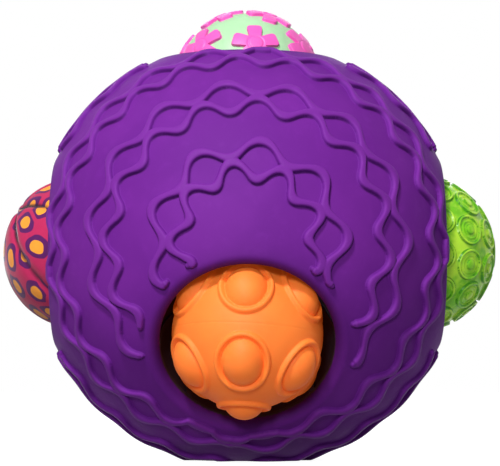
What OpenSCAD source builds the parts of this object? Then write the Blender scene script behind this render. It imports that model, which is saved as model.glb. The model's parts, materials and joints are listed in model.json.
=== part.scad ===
// Sensory ball: a soft outer ball with five holes, and a small textured ball in the pocket behind each hole.
// The origin is the middle of the flat that the outer ball rests on, +Z is up, and -Y is the front.

/* [Outer ball] */
// Radius of the outer ball, without its wave ridges
shell_r = 88; // [86:1:94]
// Wall of the outer ball
shell_wall = 3; // [2.5:0.5:4]
// Depth of the flat on which the outer ball rests
base_flat = 2.8; // [2.2:0.2:3.6]
// Depth of each small ball's centre under the outer ball's skin
ball_depth = 18; // [17:0.5:20]

/* [Holes] */
// Gap between the largest small ball and each hole's throat
throat_gap = 0.4; // [0.3:0.1:0.8]
// Rounding of each hole's lip
lip_round = 3.6; // [3:0.2:4.4]
// Thickness of the collar round each throat
collar_wall = 4; // [3:0.5:5]
// Length of each collar inside the wall
collar_l = 2.2; // [1.8:0.2:3]

/* [Pocket cups] */
// Wall of each pocket cup
cup_wall = 2; // [1.6:0.2:2.6]
// Depth of the deepest groove between the ribs, behind the throat
rib_room = 0.8; // [0.6:0.1:1.2]
// Width of each grip rib
rib_w = 3; // [2:0.5:4]
// Number of grip ribs in a cup
rib_count = 8; // [6:1:10]
// Gap between a small ball and its grip ribs
seat_gap = 0.3; // [0.2:0.1:0.5]
// Thickness of a cup's bonded flange
flange_t = 2; // [1.6:0.2:2.6]
// Width of a cup's bonded flange outside its wall
flange_w = 3.2; // [2.4:0.2:3.6]

/* [Wave ridges] */
// Width of a wave ridge at its foot
ridge_w = 2.6; // [2.2:0.1:3]
// Height of a wave ridge
ridge_h = 1.4; // [1:0.1:1.8]
// Swing of a wave ridge to either side of its middle line
wave_swing = 3.5; // [3:0.1:3.8]

/* [Orange knobbly ball] */
// Radius of the orange ball between its knobs
orange_r = 29.2; // [28.6:0.1:29.6]
// Height of its knobs
orange_knob_h = 4; // [3.4:0.1:4.2]
// Half width of a knob
orange_knob_w = 7.9; // [7:0.1:8.4]
// Half length of a knob, along the meridian
orange_knob_l = 10; // [9:0.1:10.5]

/* [Green clear ball] */
// Radius of the green ball between its medallions
green_r = 31.6; // [31:0.1:32]
// Height of its medallions
green_disc_h = 1.2; // [0.8:0.1:1.4]
// Radius of a medallion
green_disc_r = 6.6; // [6:0.1:7]

/* [Printed fabric ball] */
// Radius of the fabric ball
print_r = 32.2; // [31.6:0.1:32.6]
// Thickness of its fabric with the padding under it
cloth_t = 1.6; // [1.2:0.1:2]

/* [Mint flower ball] */
// Radius of the mint ball between its flowers
mint_r = 30.2; // [29.6:0.1:31]
// Height of its flowers
petal_h = 1.4; // [1:0.1:1.8]
// Radius of a flower
flower_r = 8.6; // [8:0.1:9]

/* [Blue nubbed ball] */
// Radius of the blue ball between its nubs
blue_r = 31.2; // [30.6:0.1:31.6]
// Height of its nubs
blue_nub_h = 1.6; // [1.2:0.1:1.6]
// Radius of a nub
blue_nub_r = 2.4; // [2:0.1:2.8]

/* [Hidden] */
$fn = 64;

// One overrun serves every cut
overrun = 1;

// Where each hole points: a turn from straight up about X, Y and Z
hole_step = 120;
front_turn = [hole_step, 0, 0];
rear_turn = [-hole_step, 0, 0];
left_turn = [0, -90, 0];
right_turn = [0, 90, 0];
top_turn = [0, 0, 0];

// Largest radius of each small ball
orange_reach = orange_r + orange_knob_h;
green_reach = green_r + green_disc_h;
mint_reach = mint_r + petal_h;
blue_reach = blue_r + blue_nub_h;

// Holes, collars and cups
centre_z = shell_r - base_flat;
inner_r = shell_r - shell_wall;
ball_out = shell_r - ball_depth;
throat_r = max(orange_reach, green_reach, print_r, mint_reach, blue_reach) + throat_gap;
collar_r = throat_r + collar_wall;
collar_end = sqrt(pow(inner_r, 2) - pow(collar_r, 2)) - collar_l;
collar_top = sqrt(pow(inner_r + shell_wall * 2 / 3, 2) - pow(collar_r, 2));
cup_in_r = throat_r + rib_room;
cup_out_r = cup_in_r + cup_wall;
cup_top = collar_end - ball_out;
flange_r = cup_out_r + flange_w;
rib_root = cup_wall / 4;
rib_bare_r = 12;
rib_angle = 2 * asin(rib_w / 2 / cup_in_r);

// The lip's round crosses the skin a little, so its crown stands this much over it
lip_crown = 0.3;
lip_mid_r = throat_r + lip_round;
lip_mid_z = sqrt(pow(shell_r - lip_round + lip_crown, 2) - pow(lip_mid_r, 2));
lip_reach = (shell_r + 2 * lip_round) / norm([lip_mid_r, lip_mid_z]);
crown_angle = acos(
    (pow(shell_r, 2) + pow(shell_r - lip_round + lip_crown, 2) - pow(lip_round, 2))
    / (2 * shell_r * (shell_r - lip_round + lip_crown))
);

// Lap band inside the seam of the two halves
band_t = 2;
band_w = 8;
band_gap = 0.2;
band_r = inner_r - band_gap;
band_in_r = inner_r - band_t;
band_root_r = inner_r + shell_wall / 3;
band_hole_angle = atan2(flange_r, collar_end - flange_t) + atan2(band_t, shell_r);
band_base_angle = acos(min(1, (inner_r - base_flat) / band_r)) + atan2(band_t, shell_r);

// Loose pieces inside the small balls
loose_gap = 0.3;
vinyl_wall = 2;
bell_r = 7;
bell_wall = 0.6;
bell_slot = 1.4;
pellet_r = 2.2;
bead_r = 3;
bead_count = 5;
clear_wall = 8;
orange_hollow_r = orange_r - vinyl_wall;
green_hollow_r = green_r - clear_wall;
mint_hollow_r = mint_r - vinyl_wall;
blue_hollow_r = blue_r - vinyl_wall;

// The outer ball

module at_hole(turn) {
    translate([0, 0, centre_z]) rotate(turn) children();
}

// A small ball's own frame: its centre behind the hole, upright as the whole object is
module at_ball(turn) {
    at_hole(turn) translate([0, 0, ball_out]) rotate(-turn) children();
}

// Half section of the wall, with its flat foot, about the upright axis
module wall_section() {
    difference() {
        intersection() {
            circle(shell_r);
            translate([0, -centre_z]) square([shell_r, centre_z + shell_r]);
        }
        intersection() {
            circle(inner_r);
            translate([-overrun, shell_wall - centre_z]) square([shell_r, centre_z + shell_r]);
        }
    }
}

module collar_blank(turn) {
    rotate(turn) translate([0, 0, collar_end]) cylinder(r = collar_r, h = collar_top - collar_end);
}

// The bore of a throat and the round of its lip
module throat_cut(turn) {
    rotate(turn) {
        translate([0, 0, ball_out]) cylinder(r = throat_r, h = ball_depth + overrun);
        rotate_extrude() difference() {
            polygon([
                [0, lip_mid_z],
                [lip_mid_r, lip_mid_z],
                [lip_mid_r * lip_reach, lip_mid_z * lip_reach],
                [0, lip_mid_z * lip_reach]
            ]);
            translate([lip_mid_r, lip_mid_z]) circle(lip_round);
        }
    }
}

module shell_half(own_turn, side) {
    turns = [own_turn, left_turn, right_turn, top_turn];
    translate([0, 0, centre_z]) difference() {
        union() {
            rotate([0, 0, side > 0 ? 0 : 180]) rotate_extrude(angle = 180) wall_section();
            intersection() {
                union() {
                    for (turn = turns) collar_blank(turn);
                }
                translate([-shell_r, side > 0 ? 0 : -shell_r, -shell_r])
                    cube([2 * shell_r, shell_r, 2 * shell_r]);
            }
        }
        for (turn = turns) throat_cut(turn);
    }
}

// One stretch of the lap band: its rooted side is inside the rear wall, and the other laps the front wall
module lap_band(from_angle, to_angle) {
    translate([0, 0, centre_z]) rotate([90, 0, 0])
        rotate([0, 0, from_angle]) rotate_extrude(angle = to_angle - from_angle) polygon([
            [band_in_r, -band_w / 2],
            [band_root_r, -band_w / 2],
            [band_root_r, 0],
            [band_r - band_gap, 0],
            [band_r - band_gap, band_w / 2],
            [band_in_r, band_w / 2]
        ]);
}

module front_shell() {
    color("indigo") shell_half(front_turn, -1);
}

module rear_shell() {
    color("indigo") {
        shell_half(rear_turn, 1);
        for (hole = [0, 90]) lap_band(hole + band_hole_angle, hole + 90 - band_hole_angle);
        lap_band(180 + band_hole_angle, 270 - band_base_angle);
        lap_band(270 + band_base_angle, 360 - band_hole_angle);
    }
}

// Wave ridges

// Rings of ridges round the front pole: the first ring's angle, and the step from ring to ring
first_ring = 20.2;
ring_step = 19.3;
// Waves per turn of each ring's inner and outer strand, and the azimuth of their common crest
inner_waves = [8.9, 15.5, 22, 25];
outer_waves = [9, 14.75, 21, 24];
crest_azimuth = [8.5, 16, 5, 45];
// Azimuths between which each ring's inner and outer strand run, clockwise from the top
side_spans = [[29, 61], [119, 161], [199, 241], [299, 331]];
inner_spans = [[[-112, 114]], [[-129, 128]], [[0, 360]], side_spans];
outer_spans = [[[-118, 116]], [[-137, 139]], [[0, 360]], side_spans];
// The first rings end at the front hole, and the others go round it
open_rings = 2;
wave_steps = 6;
ridge_top_share = 0.45;
ridge_end_share = 0.3;
strand_gap = 0.1;
// The feet of the ridges clear the skin by the sag of their own flat facets
ridge_foot = 0.08;
strand_mid = wave_swing + ridge_w / 2 + strand_gap;

function unit(v) = v / norm(v);
function as_angle(length) = length / shell_r * 180 / PI;
function on_ball(angle, azimuth) = [sin(angle) * sin(azimuth), -cos(angle), sin(angle) * cos(azimuth)];

hole_axes = [[0, -sin(hole_step), cos(hole_step)], [0, 0, 1], [1, 0, 0], [-1, 0, 0]];
ridge_keep = atan2(lip_mid_r, lip_mid_z) + crown_angle + as_angle(ridge_w / 2);
ring_keep = ridge_keep + as_angle(strand_mid);

// Moves a direction away from each hole's axis until it is the given angle from it. Number 0 is the front hole
function kept_off(v, keep, n = 0) =
    n == len(hole_axes) ? v :
    let (axis = hole_axes[n], along = v * axis)
    kept_off(along > cos(keep) ? axis * cos(keep) + unit(v - axis * along) * sin(keep) : v, keep, n + 1);

function ring_middle(ring, azimuth) =
    kept_off(on_ball(first_ring + ring * ring_step, azimuth), ring_keep, ring < open_rings ? 1 : 0);

// A strand's direction at an azimuth, where side is 1 for the strand near the front pole and -1 for the other
function strand_way(ring, side, azimuth) =
    let (
        middle = ring_middle(ring, azimuth),
        ahead = ring_middle(ring, azimuth + 1) - ring_middle(ring, azimuth - 1),
        across = unit(cross(ahead, middle)),
        waves = side > 0 ? inner_waves[ring] : outer_waves[ring],
        off = strand_mid + wave_swing * cos(waves * (azimuth - crest_azimuth[ring]))
    )
    kept_off(unit(middle + across * side * tan(as_angle(off))), ridge_keep);

function strand_path(ring, side, span) =
    let (
        waves = side > 0 ? inner_waves[ring] : outer_waves[ring],
        steps = ceil((span[1] - span[0]) / 360 * waves * wave_steps)
    )
    [for (n = [0:steps]) strand_way(ring, side, span[0] + (span[1] - span[0]) * n / steps)];

// Four corners of a ridge's section at one point of its path
function ridge_corners(path, n, closed) =
    let (
        last = len(path) - 1,
        before = n > 0 ? path[n - 1] : closed ? path[last - 1] : path[0],
        after = n < last ? path[n + 1] : closed ? path[1] : path[last],
        across = unit(cross(after - before, path[n])),
        size = !closed && (n == 0 || n == last) ? ridge_end_share : 1,
        foot = across * tan(as_angle(ridge_w / 2 * size)),
        top = foot * ridge_top_share,
        foot_r = shell_r + ridge_foot,
        top_r = shell_r + ridge_h * size
    )
    [
        foot_r * unit(path[n] - foot), foot_r * unit(path[n] + foot),
        top_r * unit(path[n] + top), top_r * unit(path[n] - top)
    ];

function strand_points(path, closed) =
    [for (n = [0:len(path) - (closed ? 2 : 1)]) each ridge_corners(path, n, closed)];

// Faces of a strand whose points start at a given index, with its ends closed or joined
function strand_faces(start, count, closed) =
    let (
        walls = [
            for (n = [0:count - (closed ? 1 : 2)], k = [0:3])
            let (
                a = start + 4 * n + k,
                b = start + 4 * n + (k + 1) % 4,
                c = start + 4 * ((n + 1) % count) + (k + 1) % 4,
                d = start + 4 * ((n + 1) % count) + k
            )
            each [[a, b, c], [a, c, d]]
        ],
        last = start + 4 * (count - 1),
        ends = closed ? [] : [
            [start, start + 2, start + 1], [start, start + 3, start + 2],
            [last, last + 1, last + 2], [last, last + 2, last + 3]
        ]
    )
    concat(walls, ends);

strands = [
    for (ring = [0:len(inner_waves) - 1], side = [1, -1], span = (side > 0 ? inner_spans : outer_spans)[ring])
    let (closed = span[1] - span[0] == 360)
    [strand_points(strand_path(ring, side, span), closed), closed]
];
strand_starts = [for (n = 0, at = 0; n < len(strands); at = at + len(strands[n][0]), n = n + 1) at];

module ridges() {
    translate([0, 0, centre_z]) polyhedron(
        points = [for (strand = strands) each strand[0]],
        faces = [
            for (n = [0:len(strands) - 1])
            each strand_faces(strand_starts[n], len(strands[n][0]) / 4, strands[n][1])
        ]
    );
}

module front_ridges() {
    color("darkviolet") ridges();
}

module rear_ridges() {
    color("darkviolet") mirror([0, 1, 0]) ridges();
}

// Pocket cups

// Half section of a bowl round a small ball's centre, with a straight wall up to the collar
module bowl_section(outer, inner) {
    difference() {
        intersection() {
            union() {
                circle(outer);
                square([outer, cup_top]);
            }
            translate([0, -outer]) square([outer, outer + cup_top]);
        }
        circle(inner);
        square([inner, cup_top + overrun]);
    }
}

module cup(turn, ball_reach) {
    tip_r = ball_reach + seat_gap;
    color("midnightblue") at_hole(turn) translate([0, 0, ball_out]) {
        rotate_extrude() {
            bowl_section(cup_out_r, cup_in_r);
            translate([cup_out_r - rib_root, cup_top - flange_t]) square([flange_w + rib_root, flange_t]);
        }
        for (n = [0:rib_count - 1]) rotate([0, 0, n * 360 / rib_count])
            rotate_extrude(angle = rib_angle) difference() {
                bowl_section(cup_in_r + rib_root, tip_r);
                translate([0, -cup_out_r]) square([rib_bare_r, cup_out_r]);
            }
    }
}

module front_cup() { cup(front_turn, orange_reach); }
module rear_cup() { cup(rear_turn, blue_reach); }
module left_cup() { cup(left_turn, print_r); }
module right_cup() { cup(right_turn, green_reach); }
module top_cup() { cup(top_turn, mint_reach); }

// Shared pieces of the small balls

// Upper half of a hollow ball about its own axis
module half_wall(outer, hollow) {
    rotate_extrude() difference() {
        intersection() {
            circle(outer);
            square(outer);
        }
        circle(hollow);
    }
}

// A jingle bell that lies at the bottom of a hollow, with a slot across its lower half
module bell(hollow) {
    translate([0, 0, -(hollow - loose_gap - bell_r)]) difference() {
        sphere(bell_r);
        sphere(bell_r - bell_wall);
        translate([-bell_r, -bell_slot / 2, -bell_r]) cube([2 * bell_r, bell_slot, bell_r]);
    }
}

// The pellet lies beside the slot, on the bell's inner wall
pellet_lean = 35;
module bell_pellet(hollow) {
    translate([0, 0, -(hollow - loose_gap - bell_r)]) rotate([pellet_lean, 0, 0])
        translate([0, 0, -(bell_r - bell_wall - loose_gap - pellet_r)]) sphere(pellet_r);
}

// One bead at the bottom of a hollow, and the others leaning on it
module beads(hollow) {
    run_r = hollow - loose_gap - bead_r;
    lean = 2 * asin((bead_r + loose_gap / 2) / run_r);
    translate([0, 0, -run_r]) sphere(bead_r);
    for (n = [0:bead_count - 1]) rotate([0, 0, n * 360 / bead_count]) rotate([lean, 0, 0])
        translate([0, 0, -run_r]) sphere(bead_r);
}

// Orange knobbly ball

// The ball's own axis leans a little, with the front knobs just left of the middle
orange_lean = -7;
orange_roll = 2.9;
orange_swing = -2.9;
knob_rows = 6;
knob_latitude = 29;
orange_pole_knob_r = 7.75;
knob_ring_gap = 0.5;
knob_ring_w = 1.9;
knob_ring_h = 1.1;

// Radius of a ball whose cap rises from the given foot radius to the knobs' height
function knob_ball_r(foot) =
    let (rise = orange_reach - sqrt(pow(orange_r, 2) - pow(foot, 2)))
    (pow(foot, 2) + pow(rise, 2)) / 2 / rise;

module orange_frame() {
    at_ball(front_turn) rotate([orange_lean, 0, 0]) rotate([0, orange_roll, 0])
        rotate([0, 0, orange_swing]) children();
}

// The places of the knobs in one half: over the pole, and in a row
module at_row_knobs() {
    for (n = [0:knob_rows - 1]) rotate([0, 0, n * 360 / knob_rows])
        rotate([90 - knob_latitude, 0, 0]) children();
}

module row_knob() {
    ball_r = knob_ball_r(orange_knob_w);
    translate([0, 0, orange_reach - ball_r]) scale([1, orange_knob_l / orange_knob_w, 1]) sphere(ball_r);
}

module knob_ring() {
    gap = orange_knob_w + knob_ring_gap;
    stretch = orange_knob_l - orange_knob_w;
    linear_extrude(orange_reach) difference() {
        scale([1, (gap + knob_ring_w + stretch) / (gap + knob_ring_w)]) circle(gap + knob_ring_w);
        scale([1, (gap + stretch) / gap]) circle(gap);
    }
}

module orange_half() {
    pole_ball_r = knob_ball_r(orange_pole_knob_r);
    ring_r = orange_pole_knob_r + knob_ring_gap + knob_ring_w / 2;
    difference() {
        union() {
            rotate_extrude() intersection() {
                union() {
                    circle(orange_r);
                    translate([0, orange_reach - pole_ball_r]) circle(pole_ball_r);
                    translate([ring_r, sqrt(pow(orange_r, 2) - pow(ring_r, 2))]) circle(knob_ring_w / 2);
                }
                square(orange_reach);
            }
            at_row_knobs() row_knob();
            intersection() {
                sphere(orange_r + knob_ring_h);
                at_row_knobs() knob_ring();
            }
        }
        sphere(orange_hollow_r);
    }
}

module orange_upper_half() {
    color("darkorange") orange_frame() orange_half();
}

module orange_lower_half() {
    color("darkorange") orange_frame() mirror([0, 0, 1]) orange_half();
}

module orange_bell() {
    color("silver") at_ball(front_turn) bell(orange_hollow_r);
}

module orange_bell_pellet() {
    color("dimgray") at_ball(front_turn) bell_pellet(orange_hollow_r);
}

// Green clear ball

disc_row_angles = [0, 38, 74];
disc_row_counts = [1, 5, 9];
disc_rim_w = 1.5;
disc_button_r = 2.2;
disc_root = 1;

module medallion() {
    translate([0, 0, green_r - disc_root - green_disc_h]) {
        difference() {
            cylinder(r = green_disc_r, h = ball_depth);
            cylinder(r = green_disc_r - disc_rim_w, h = ball_depth);
        }
        cylinder(r = disc_button_r, h = ball_depth);
    }
}

module green_half() {
    half_wall(green_r, green_hollow_r);
    intersection() {
        sphere(green_reach);
        union() {
            for (row = [0:len(disc_row_angles) - 1], n = [1:disc_row_counts[row]])
                rotate([0, 0, n * 360 / disc_row_counts[row]])
                    rotate([disc_row_angles[row], 0, 0]) medallion();
        }
    }
}

module green_outer_half() {
    color("yellowgreen") at_hole(right_turn) translate([0, 0, ball_out]) green_half();
}

module green_inner_half() {
    color("yellowgreen") at_hole(right_turn) translate([0, 0, ball_out]) mirror([0, 0, 1]) green_half();
}

module green_beads() {
    color("limegreen") at_ball(right_turn) beads(green_hollow_r);
}

// Printed fabric ball

panel_count = 6;
print_lean = 20;
filling_r = print_r - cloth_t;
case_r = 11;
case_h = 16;
case_wall = 1.5;
rattle_bead_r = 4;

module print_frame() {
    at_ball(left_turn) rotate([0, print_lean, 0]) children();
}

module print_panel(n) {
    turn = 360 / panel_count;
    color(n % 2 == 0 ? "mediumvioletred" : "crimson") print_frame() rotate([0, 0, n * turn])
        rotate_extrude(angle = turn) difference() {
            intersection() {
                circle(print_r);
                translate([0, -print_r]) square([print_r, 2 * print_r]);
            }
            circle(filling_r);
        }
}

// Upper half of the filling, round the upper half of the rattle
module filling_half() {
    color("whitesmoke") rotate_extrude() difference() {
        intersection() {
            circle(filling_r);
            square(filling_r);
        }
        square([case_r, case_h / 2]);
    }
}

module print_upper_filling() {
    print_frame() filling_half();
}

module print_lower_filling() {
    print_frame() mirror([0, 0, 1]) filling_half();
}

module print_rattle_case() {
    color("lightgray") print_frame() translate([0, 0, -case_h / 2]) difference() {
        cylinder(r = case_r, h = case_h - case_wall);
        translate([0, 0, case_wall]) cylinder(r = case_r - case_wall, h = case_h);
    }
}

module print_rattle_lid() {
    color("gray") print_frame() translate([0, 0, case_h / 2 - case_wall]) cylinder(r = case_r, h = case_wall);
}

module print_rattle_bead() {
    color("red") print_frame()
        translate([0, 0, case_wall + loose_gap + rattle_bead_r - case_h / 2]) sphere(rattle_bead_r);
}

// Mint flower ball

flower_row_angles = [0, 52, 90, 128, 180];
flower_row_counts = [1, 5, 7, 5, 1];
flower_petals = 5;
petal_w = 4.4;
petal_round = 1.2;
petal_root_r = 3;

// A flower of blunt petals
module flower_outline() {
    circle(petal_root_r);
    for (n = [0:flower_petals - 1]) rotate(n * 360 / flower_petals) {
        translate([0, -petal_w / 2]) square([flower_r - petal_round, petal_w]);
        translate([0, petal_round - petal_w / 2]) square([flower_r, petal_w - 2 * petal_round]);
        for (side = [-1, 1])
            translate([flower_r - petal_round, side * (petal_w / 2 - petal_round)]) circle(petal_round);
    }
}

module mint_outer_half() {
    color("palegreen") at_hole(top_turn) translate([0, 0, ball_out]) half_wall(mint_r, mint_hollow_r);
}

module mint_inner_half() {
    color("palegreen") at_hole(top_turn) translate([0, 0, ball_out])
        mirror([0, 0, 1]) half_wall(mint_r, mint_hollow_r);
}

module mint_flowers() {
    color("hotpink") at_ball(top_turn) intersection() {
        difference() {
            sphere(mint_reach);
            sphere(mint_r);
        }
        union() {
            for (row = [0:len(flower_row_angles) - 1], n = [1:flower_row_counts[row]])
                rotate([0, 0, (n + row / 2) * 360 / flower_row_counts[row]])
                    rotate([flower_row_angles[row], 0, 0])
                    translate([0, 0, mint_hollow_r]) linear_extrude(ball_depth) flower_outline();
        }
    }
}

module mint_bell() {
    color("silver") at_ball(top_turn) bell(mint_hollow_r);
}

module mint_bell_pellet() {
    color("dimgray") at_ball(top_turn) bell_pellet(mint_hollow_r);
}

// Blue nubbed ball

nub_row_angles = [0, 20, 40, 60, 80];
nub_row_counts = [1, 6, 11, 15, 17];

module blue_half() {
    half_wall(blue_r, blue_hollow_r);
    intersection() {
        sphere(blue_reach);
        union() {
            for (row = [0:len(nub_row_angles) - 1], n = [1:nub_row_counts[row]])
                rotate([0, 0, n * 360 / nub_row_counts[row]]) rotate([nub_row_angles[row], 0, 0])
                    translate([0, 0, blue_r - vinyl_wall / 2]) cylinder(r = blue_nub_r, h = ball_depth);
        }
    }
}

module blue_outer_half() {
    color("deepskyblue") at_hole(rear_turn) translate([0, 0, ball_out]) blue_half();
}

module blue_inner_half() {
    color("deepskyblue") at_hole(rear_turn) translate([0, 0, ball_out]) mirror([0, 0, 1]) blue_half();
}

module blue_beads() {
    color("gold") at_ball(rear_turn) beads(blue_hollow_r);
}

front_shell();
rear_shell();
front_ridges();
rear_ridges();
front_cup();
rear_cup();
left_cup();
right_cup();
top_cup();
orange_upper_half();
orange_lower_half();
orange_bell();
orange_bell_pellet();
green_outer_half();
green_inner_half();
green_beads();
print_panel(1);  // print_panel_1
print_panel(2);  // print_panel_2
print_panel(3);  // print_panel_3
print_panel(4);  // print_panel_4
print_panel(5);  // print_panel_5
print_panel(6);  // print_panel_6
print_upper_filling();
print_lower_filling();
print_rattle_case();
print_rattle_lid();
print_rattle_bead();
mint_outer_half();
mint_inner_half();
mint_flowers();
mint_bell();
mint_bell_pellet();
blue_outer_half();
blue_inner_half();
blue_beads();
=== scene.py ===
import json
import math

import bpy
import numpy as np
from bpy.props import FloatProperty, FloatVectorProperty, IntProperty, PointerProperty
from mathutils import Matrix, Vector
from mathutils.kdtree import KDTree

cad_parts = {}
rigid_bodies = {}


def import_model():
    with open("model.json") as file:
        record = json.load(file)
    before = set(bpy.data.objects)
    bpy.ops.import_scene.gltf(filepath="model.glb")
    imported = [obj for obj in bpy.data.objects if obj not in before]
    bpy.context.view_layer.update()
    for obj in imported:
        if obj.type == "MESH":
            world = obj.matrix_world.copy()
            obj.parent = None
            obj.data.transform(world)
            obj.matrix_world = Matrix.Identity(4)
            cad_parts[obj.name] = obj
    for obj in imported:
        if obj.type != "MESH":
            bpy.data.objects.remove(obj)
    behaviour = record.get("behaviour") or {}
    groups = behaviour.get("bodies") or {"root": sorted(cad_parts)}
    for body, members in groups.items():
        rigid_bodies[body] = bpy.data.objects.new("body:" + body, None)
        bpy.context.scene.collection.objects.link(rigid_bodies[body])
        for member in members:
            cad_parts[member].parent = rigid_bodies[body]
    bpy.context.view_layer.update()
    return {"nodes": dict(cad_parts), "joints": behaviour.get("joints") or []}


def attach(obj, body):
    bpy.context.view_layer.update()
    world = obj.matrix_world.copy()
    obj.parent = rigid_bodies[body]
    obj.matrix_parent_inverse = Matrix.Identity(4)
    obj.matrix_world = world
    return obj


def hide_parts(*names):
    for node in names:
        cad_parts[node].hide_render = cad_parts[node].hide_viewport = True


bl_info = {
    "name": "Sensory Ball",
    "version": (1, 0, 0),
    "blender": (4, 5, 0),
    "location": "View3D > Sidebar > Sensory Ball",
    "description": "Dresses a sensory ball: a ridged outer ball and five small balls in its holes",
    "category": "Object",
}

for startup_object in list(bpy.data.objects):
    bpy.data.objects.remove(startup_object)
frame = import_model()

MM = 0.001
joints = {joint["name"]: joint for joint in frame["joints"]}
# The outer ball's centre, which lies as high as the balls in its two side holes
ball_centre = (0, 0, joints["print_spin"]["pos_m"][2])


def srgb(red, green, blue):
    """A colour as shaders want it, from the 0 to 255 values that a screen shows."""
    def linear(value):
        value /= 255
        return value / 12.92 if value <= 0.04045 else ((value + 0.055) / 1.055) ** 2.4
    return linear(red), linear(green), linear(blue)


# Settings that a user would change


def length(name, description, default, low=0.0):
    return FloatProperty(name=name, description=description, default=default, min=low,
                         unit="LENGTH", subtype="DISTANCE", precision=5)


def colour(name, description, default):
    return FloatVectorProperty(name=name, description=description, default=default, size=3,
                               min=0, max=1, subtype="COLOR")


def angle(name, description, default):
    return FloatProperty(name=name, description=description, default=math.radians(default),
                         unit="ROTATION", subtype="ANGLE")


def count(name, description, default):
    return IntProperty(name=name, description=description, default=default, min=1)


class OuterBallSettings(bpy.types.PropertyGroup):
    skin_radius: length("Skin radius", "Radius of the outer ball between its ridges", 88 * MM)
    ridge_half_width: length("Ridge half width", "From a ridge's crest to its foot", 1.95 * MM)
    ridge_height: length("Ridge height", "Height of a ridge over the skin", 1.75 * MM)
    wave_swing: length("Wave swing", "Swing of a ridge to either side of its middle line", 3.5 * MM)
    strand_room: length("Strand room", "From the middle of a ring of ridges to the nearest crest",
                        1.05 * MM)
    end_taper: length("End taper", "Length over which a ridge tapers to its end", 3 * MM)
    throat_radius: length("Throat radius", "Radius of each hole's throat", 33.6 * MM)
    lip_round: length("Lip round", "Rounding of each hole's lip", 3.6 * MM)
    lip_crown: length("Lip crown", "Height of the lip over the skin", 0.04 * MM)
    collar_end: length("Collar end", "From the ball's centre to the inner end of a throat",
                       74.05 * MM)
    collar_wall: length("Collar wall", "Wall of the collar at the inner end of a throat", 4 * MM)
    seam_depth: length("Seam depth", "Depth of the seam between the two halves", 0.18 * MM)
    detail: count("Detail", "Faces along a quarter of the ball, away from its ridges", 116)
    finer_reach: FloatVectorProperty(
        name="Finer reach",
        description="Distances from a ridge's crest at which the grid gets finer, and finer again",
        default=(4.4 * MM, 2.9 * MM), size=2, min=0, unit="LENGTH", subtype="XYZ", precision=5)
    vinyl: colour("Vinyl", "Colour of the outer ball", srgb(110, 36, 142))
    # Crest colour: wear, and a painted highlight
    worn_and_lit_vinyl: colour("Worn vinyl", "Colour on the crests of the ridges", srgb(118, 44, 150))
    # Painted shadow: the colour in the corner under a ridge, on its side away from the key lamp
    corner: colour("Corner", "Colour in the sheltered corner under a ridge", srgb(40, 6, 62))
    # Painted shadow: how far it reaches past a ridge's foot
    shadow_reach: length("Shelter reach", "From a ridge's foot to the end of its shelter",
                          1 * MM)
    # Painted shade at the feet of the ridges, and a tone of the skin's drift
    deep_tone_and_shade: colour("Deep vinyl", "Colour at the feet of the ridges", srgb(84, 20, 118))
    # Near-black vinyl of the throats and cups: painted shade for the gaps round the balls
    pocket_shade: colour("Pocket", "Colour of the pockets behind the holes", srgb(18, 8, 24))


class OrangeBallSettings(bpy.types.PropertyGroup):
    radius: length("Radius", "Radius of the ball between its knobs", 29.2 * MM)
    knob_height: length("Knob height", "Height of a knob over the ball", 4 * MM)
    knob_half_width: length("Knob half width", "Half width of a knob", 7.9 * MM)
    knob_half_length: length("Knob half length", "Half length of a knob along the meridian",
                             9.4 * MM)
    pole_knob_radius: length("Pole knob radius", "Radius of the round knob at each pole", 7.75 * MM)
    ring_gap: length("Ring gap", "Gap between a knob and the ring round it", 0.4 * MM)
    ring_width: length("Ring width", "Width of the ring round a knob", 2.4 * MM)
    ring_height: length("Ring height", "Height of the ring over the ball", 1.5 * MM)
    lean: angle("Lean", "Lean of the ball's own axis towards the back", -7.2)
    roll: angle("Roll", "Roll of the ball's own axis", 2.9)
    swing: angle("Swing", "Turn of the knobs about the ball's own axis", -2.9)
    latitude: angle("Latitude", "Latitude of the rows of knobs", 30.9)
    knobs: count("Knobs", "Knobs in a row", 6)
    detail: count("Detail", "Faces along a quarter of the ball", 120)
    vinyl: colour("Vinyl", "Colour of the ball", srgb(255, 134, 54))
    # Painted shade in the grooves, and a tone of the colour's drift and of the painted glow
    deep_tone_and_shade: colour("Deep vinyl", "Colour in the grooves round the knobs", srgb(228, 92, 26))
    # Painted glow: emission in place of light through the thin vinyl
    painted_glow: colour("Glow", "Colour of the light that the thin vinyl lets through", srgb(255, 96, 16))


class GreenBallSettings(bpy.types.PropertyGroup):
    radius: length("Radius", "Radius of the ball between its medallions", 31.6 * MM)
    hollow_radius: length("Hollow radius", "Radius of the hollow that holds the beads", 23.6 * MM)
    disc_height: length("Medallion height", "Height of a medallion over the ball", 1.2 * MM)
    disc_radius: length("Medallion radius", "Radius of a medallion", 6.4 * MM)
    rim_width: length("Rim width", "Width of a medallion's rim", 1.5 * MM)
    step_radius: length("Step radius", "Radius of the low ring inside a medallion", 4.1 * MM)
    button_radius: length("Button radius", "Radius of a medallion's button", 2.2 * MM)
    detail: count("Detail", "Faces along a quarter of the ball", 128)
    clear: colour("Clear", "Colour of the clear vinyl", srgb(108, 184, 24))
    thin: colour("Thin", "Colour of the clear vinyl where more light comes through",
                 srgb(192, 230, 66))
    # Painted shade on the medallions' walls
    outline: colour("Outline", "Colour of the medallions' walls", srgb(38, 118, 10))
    bead: colour("Bead", "Colour of the loose beads", srgb(190, 225, 60))


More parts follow.
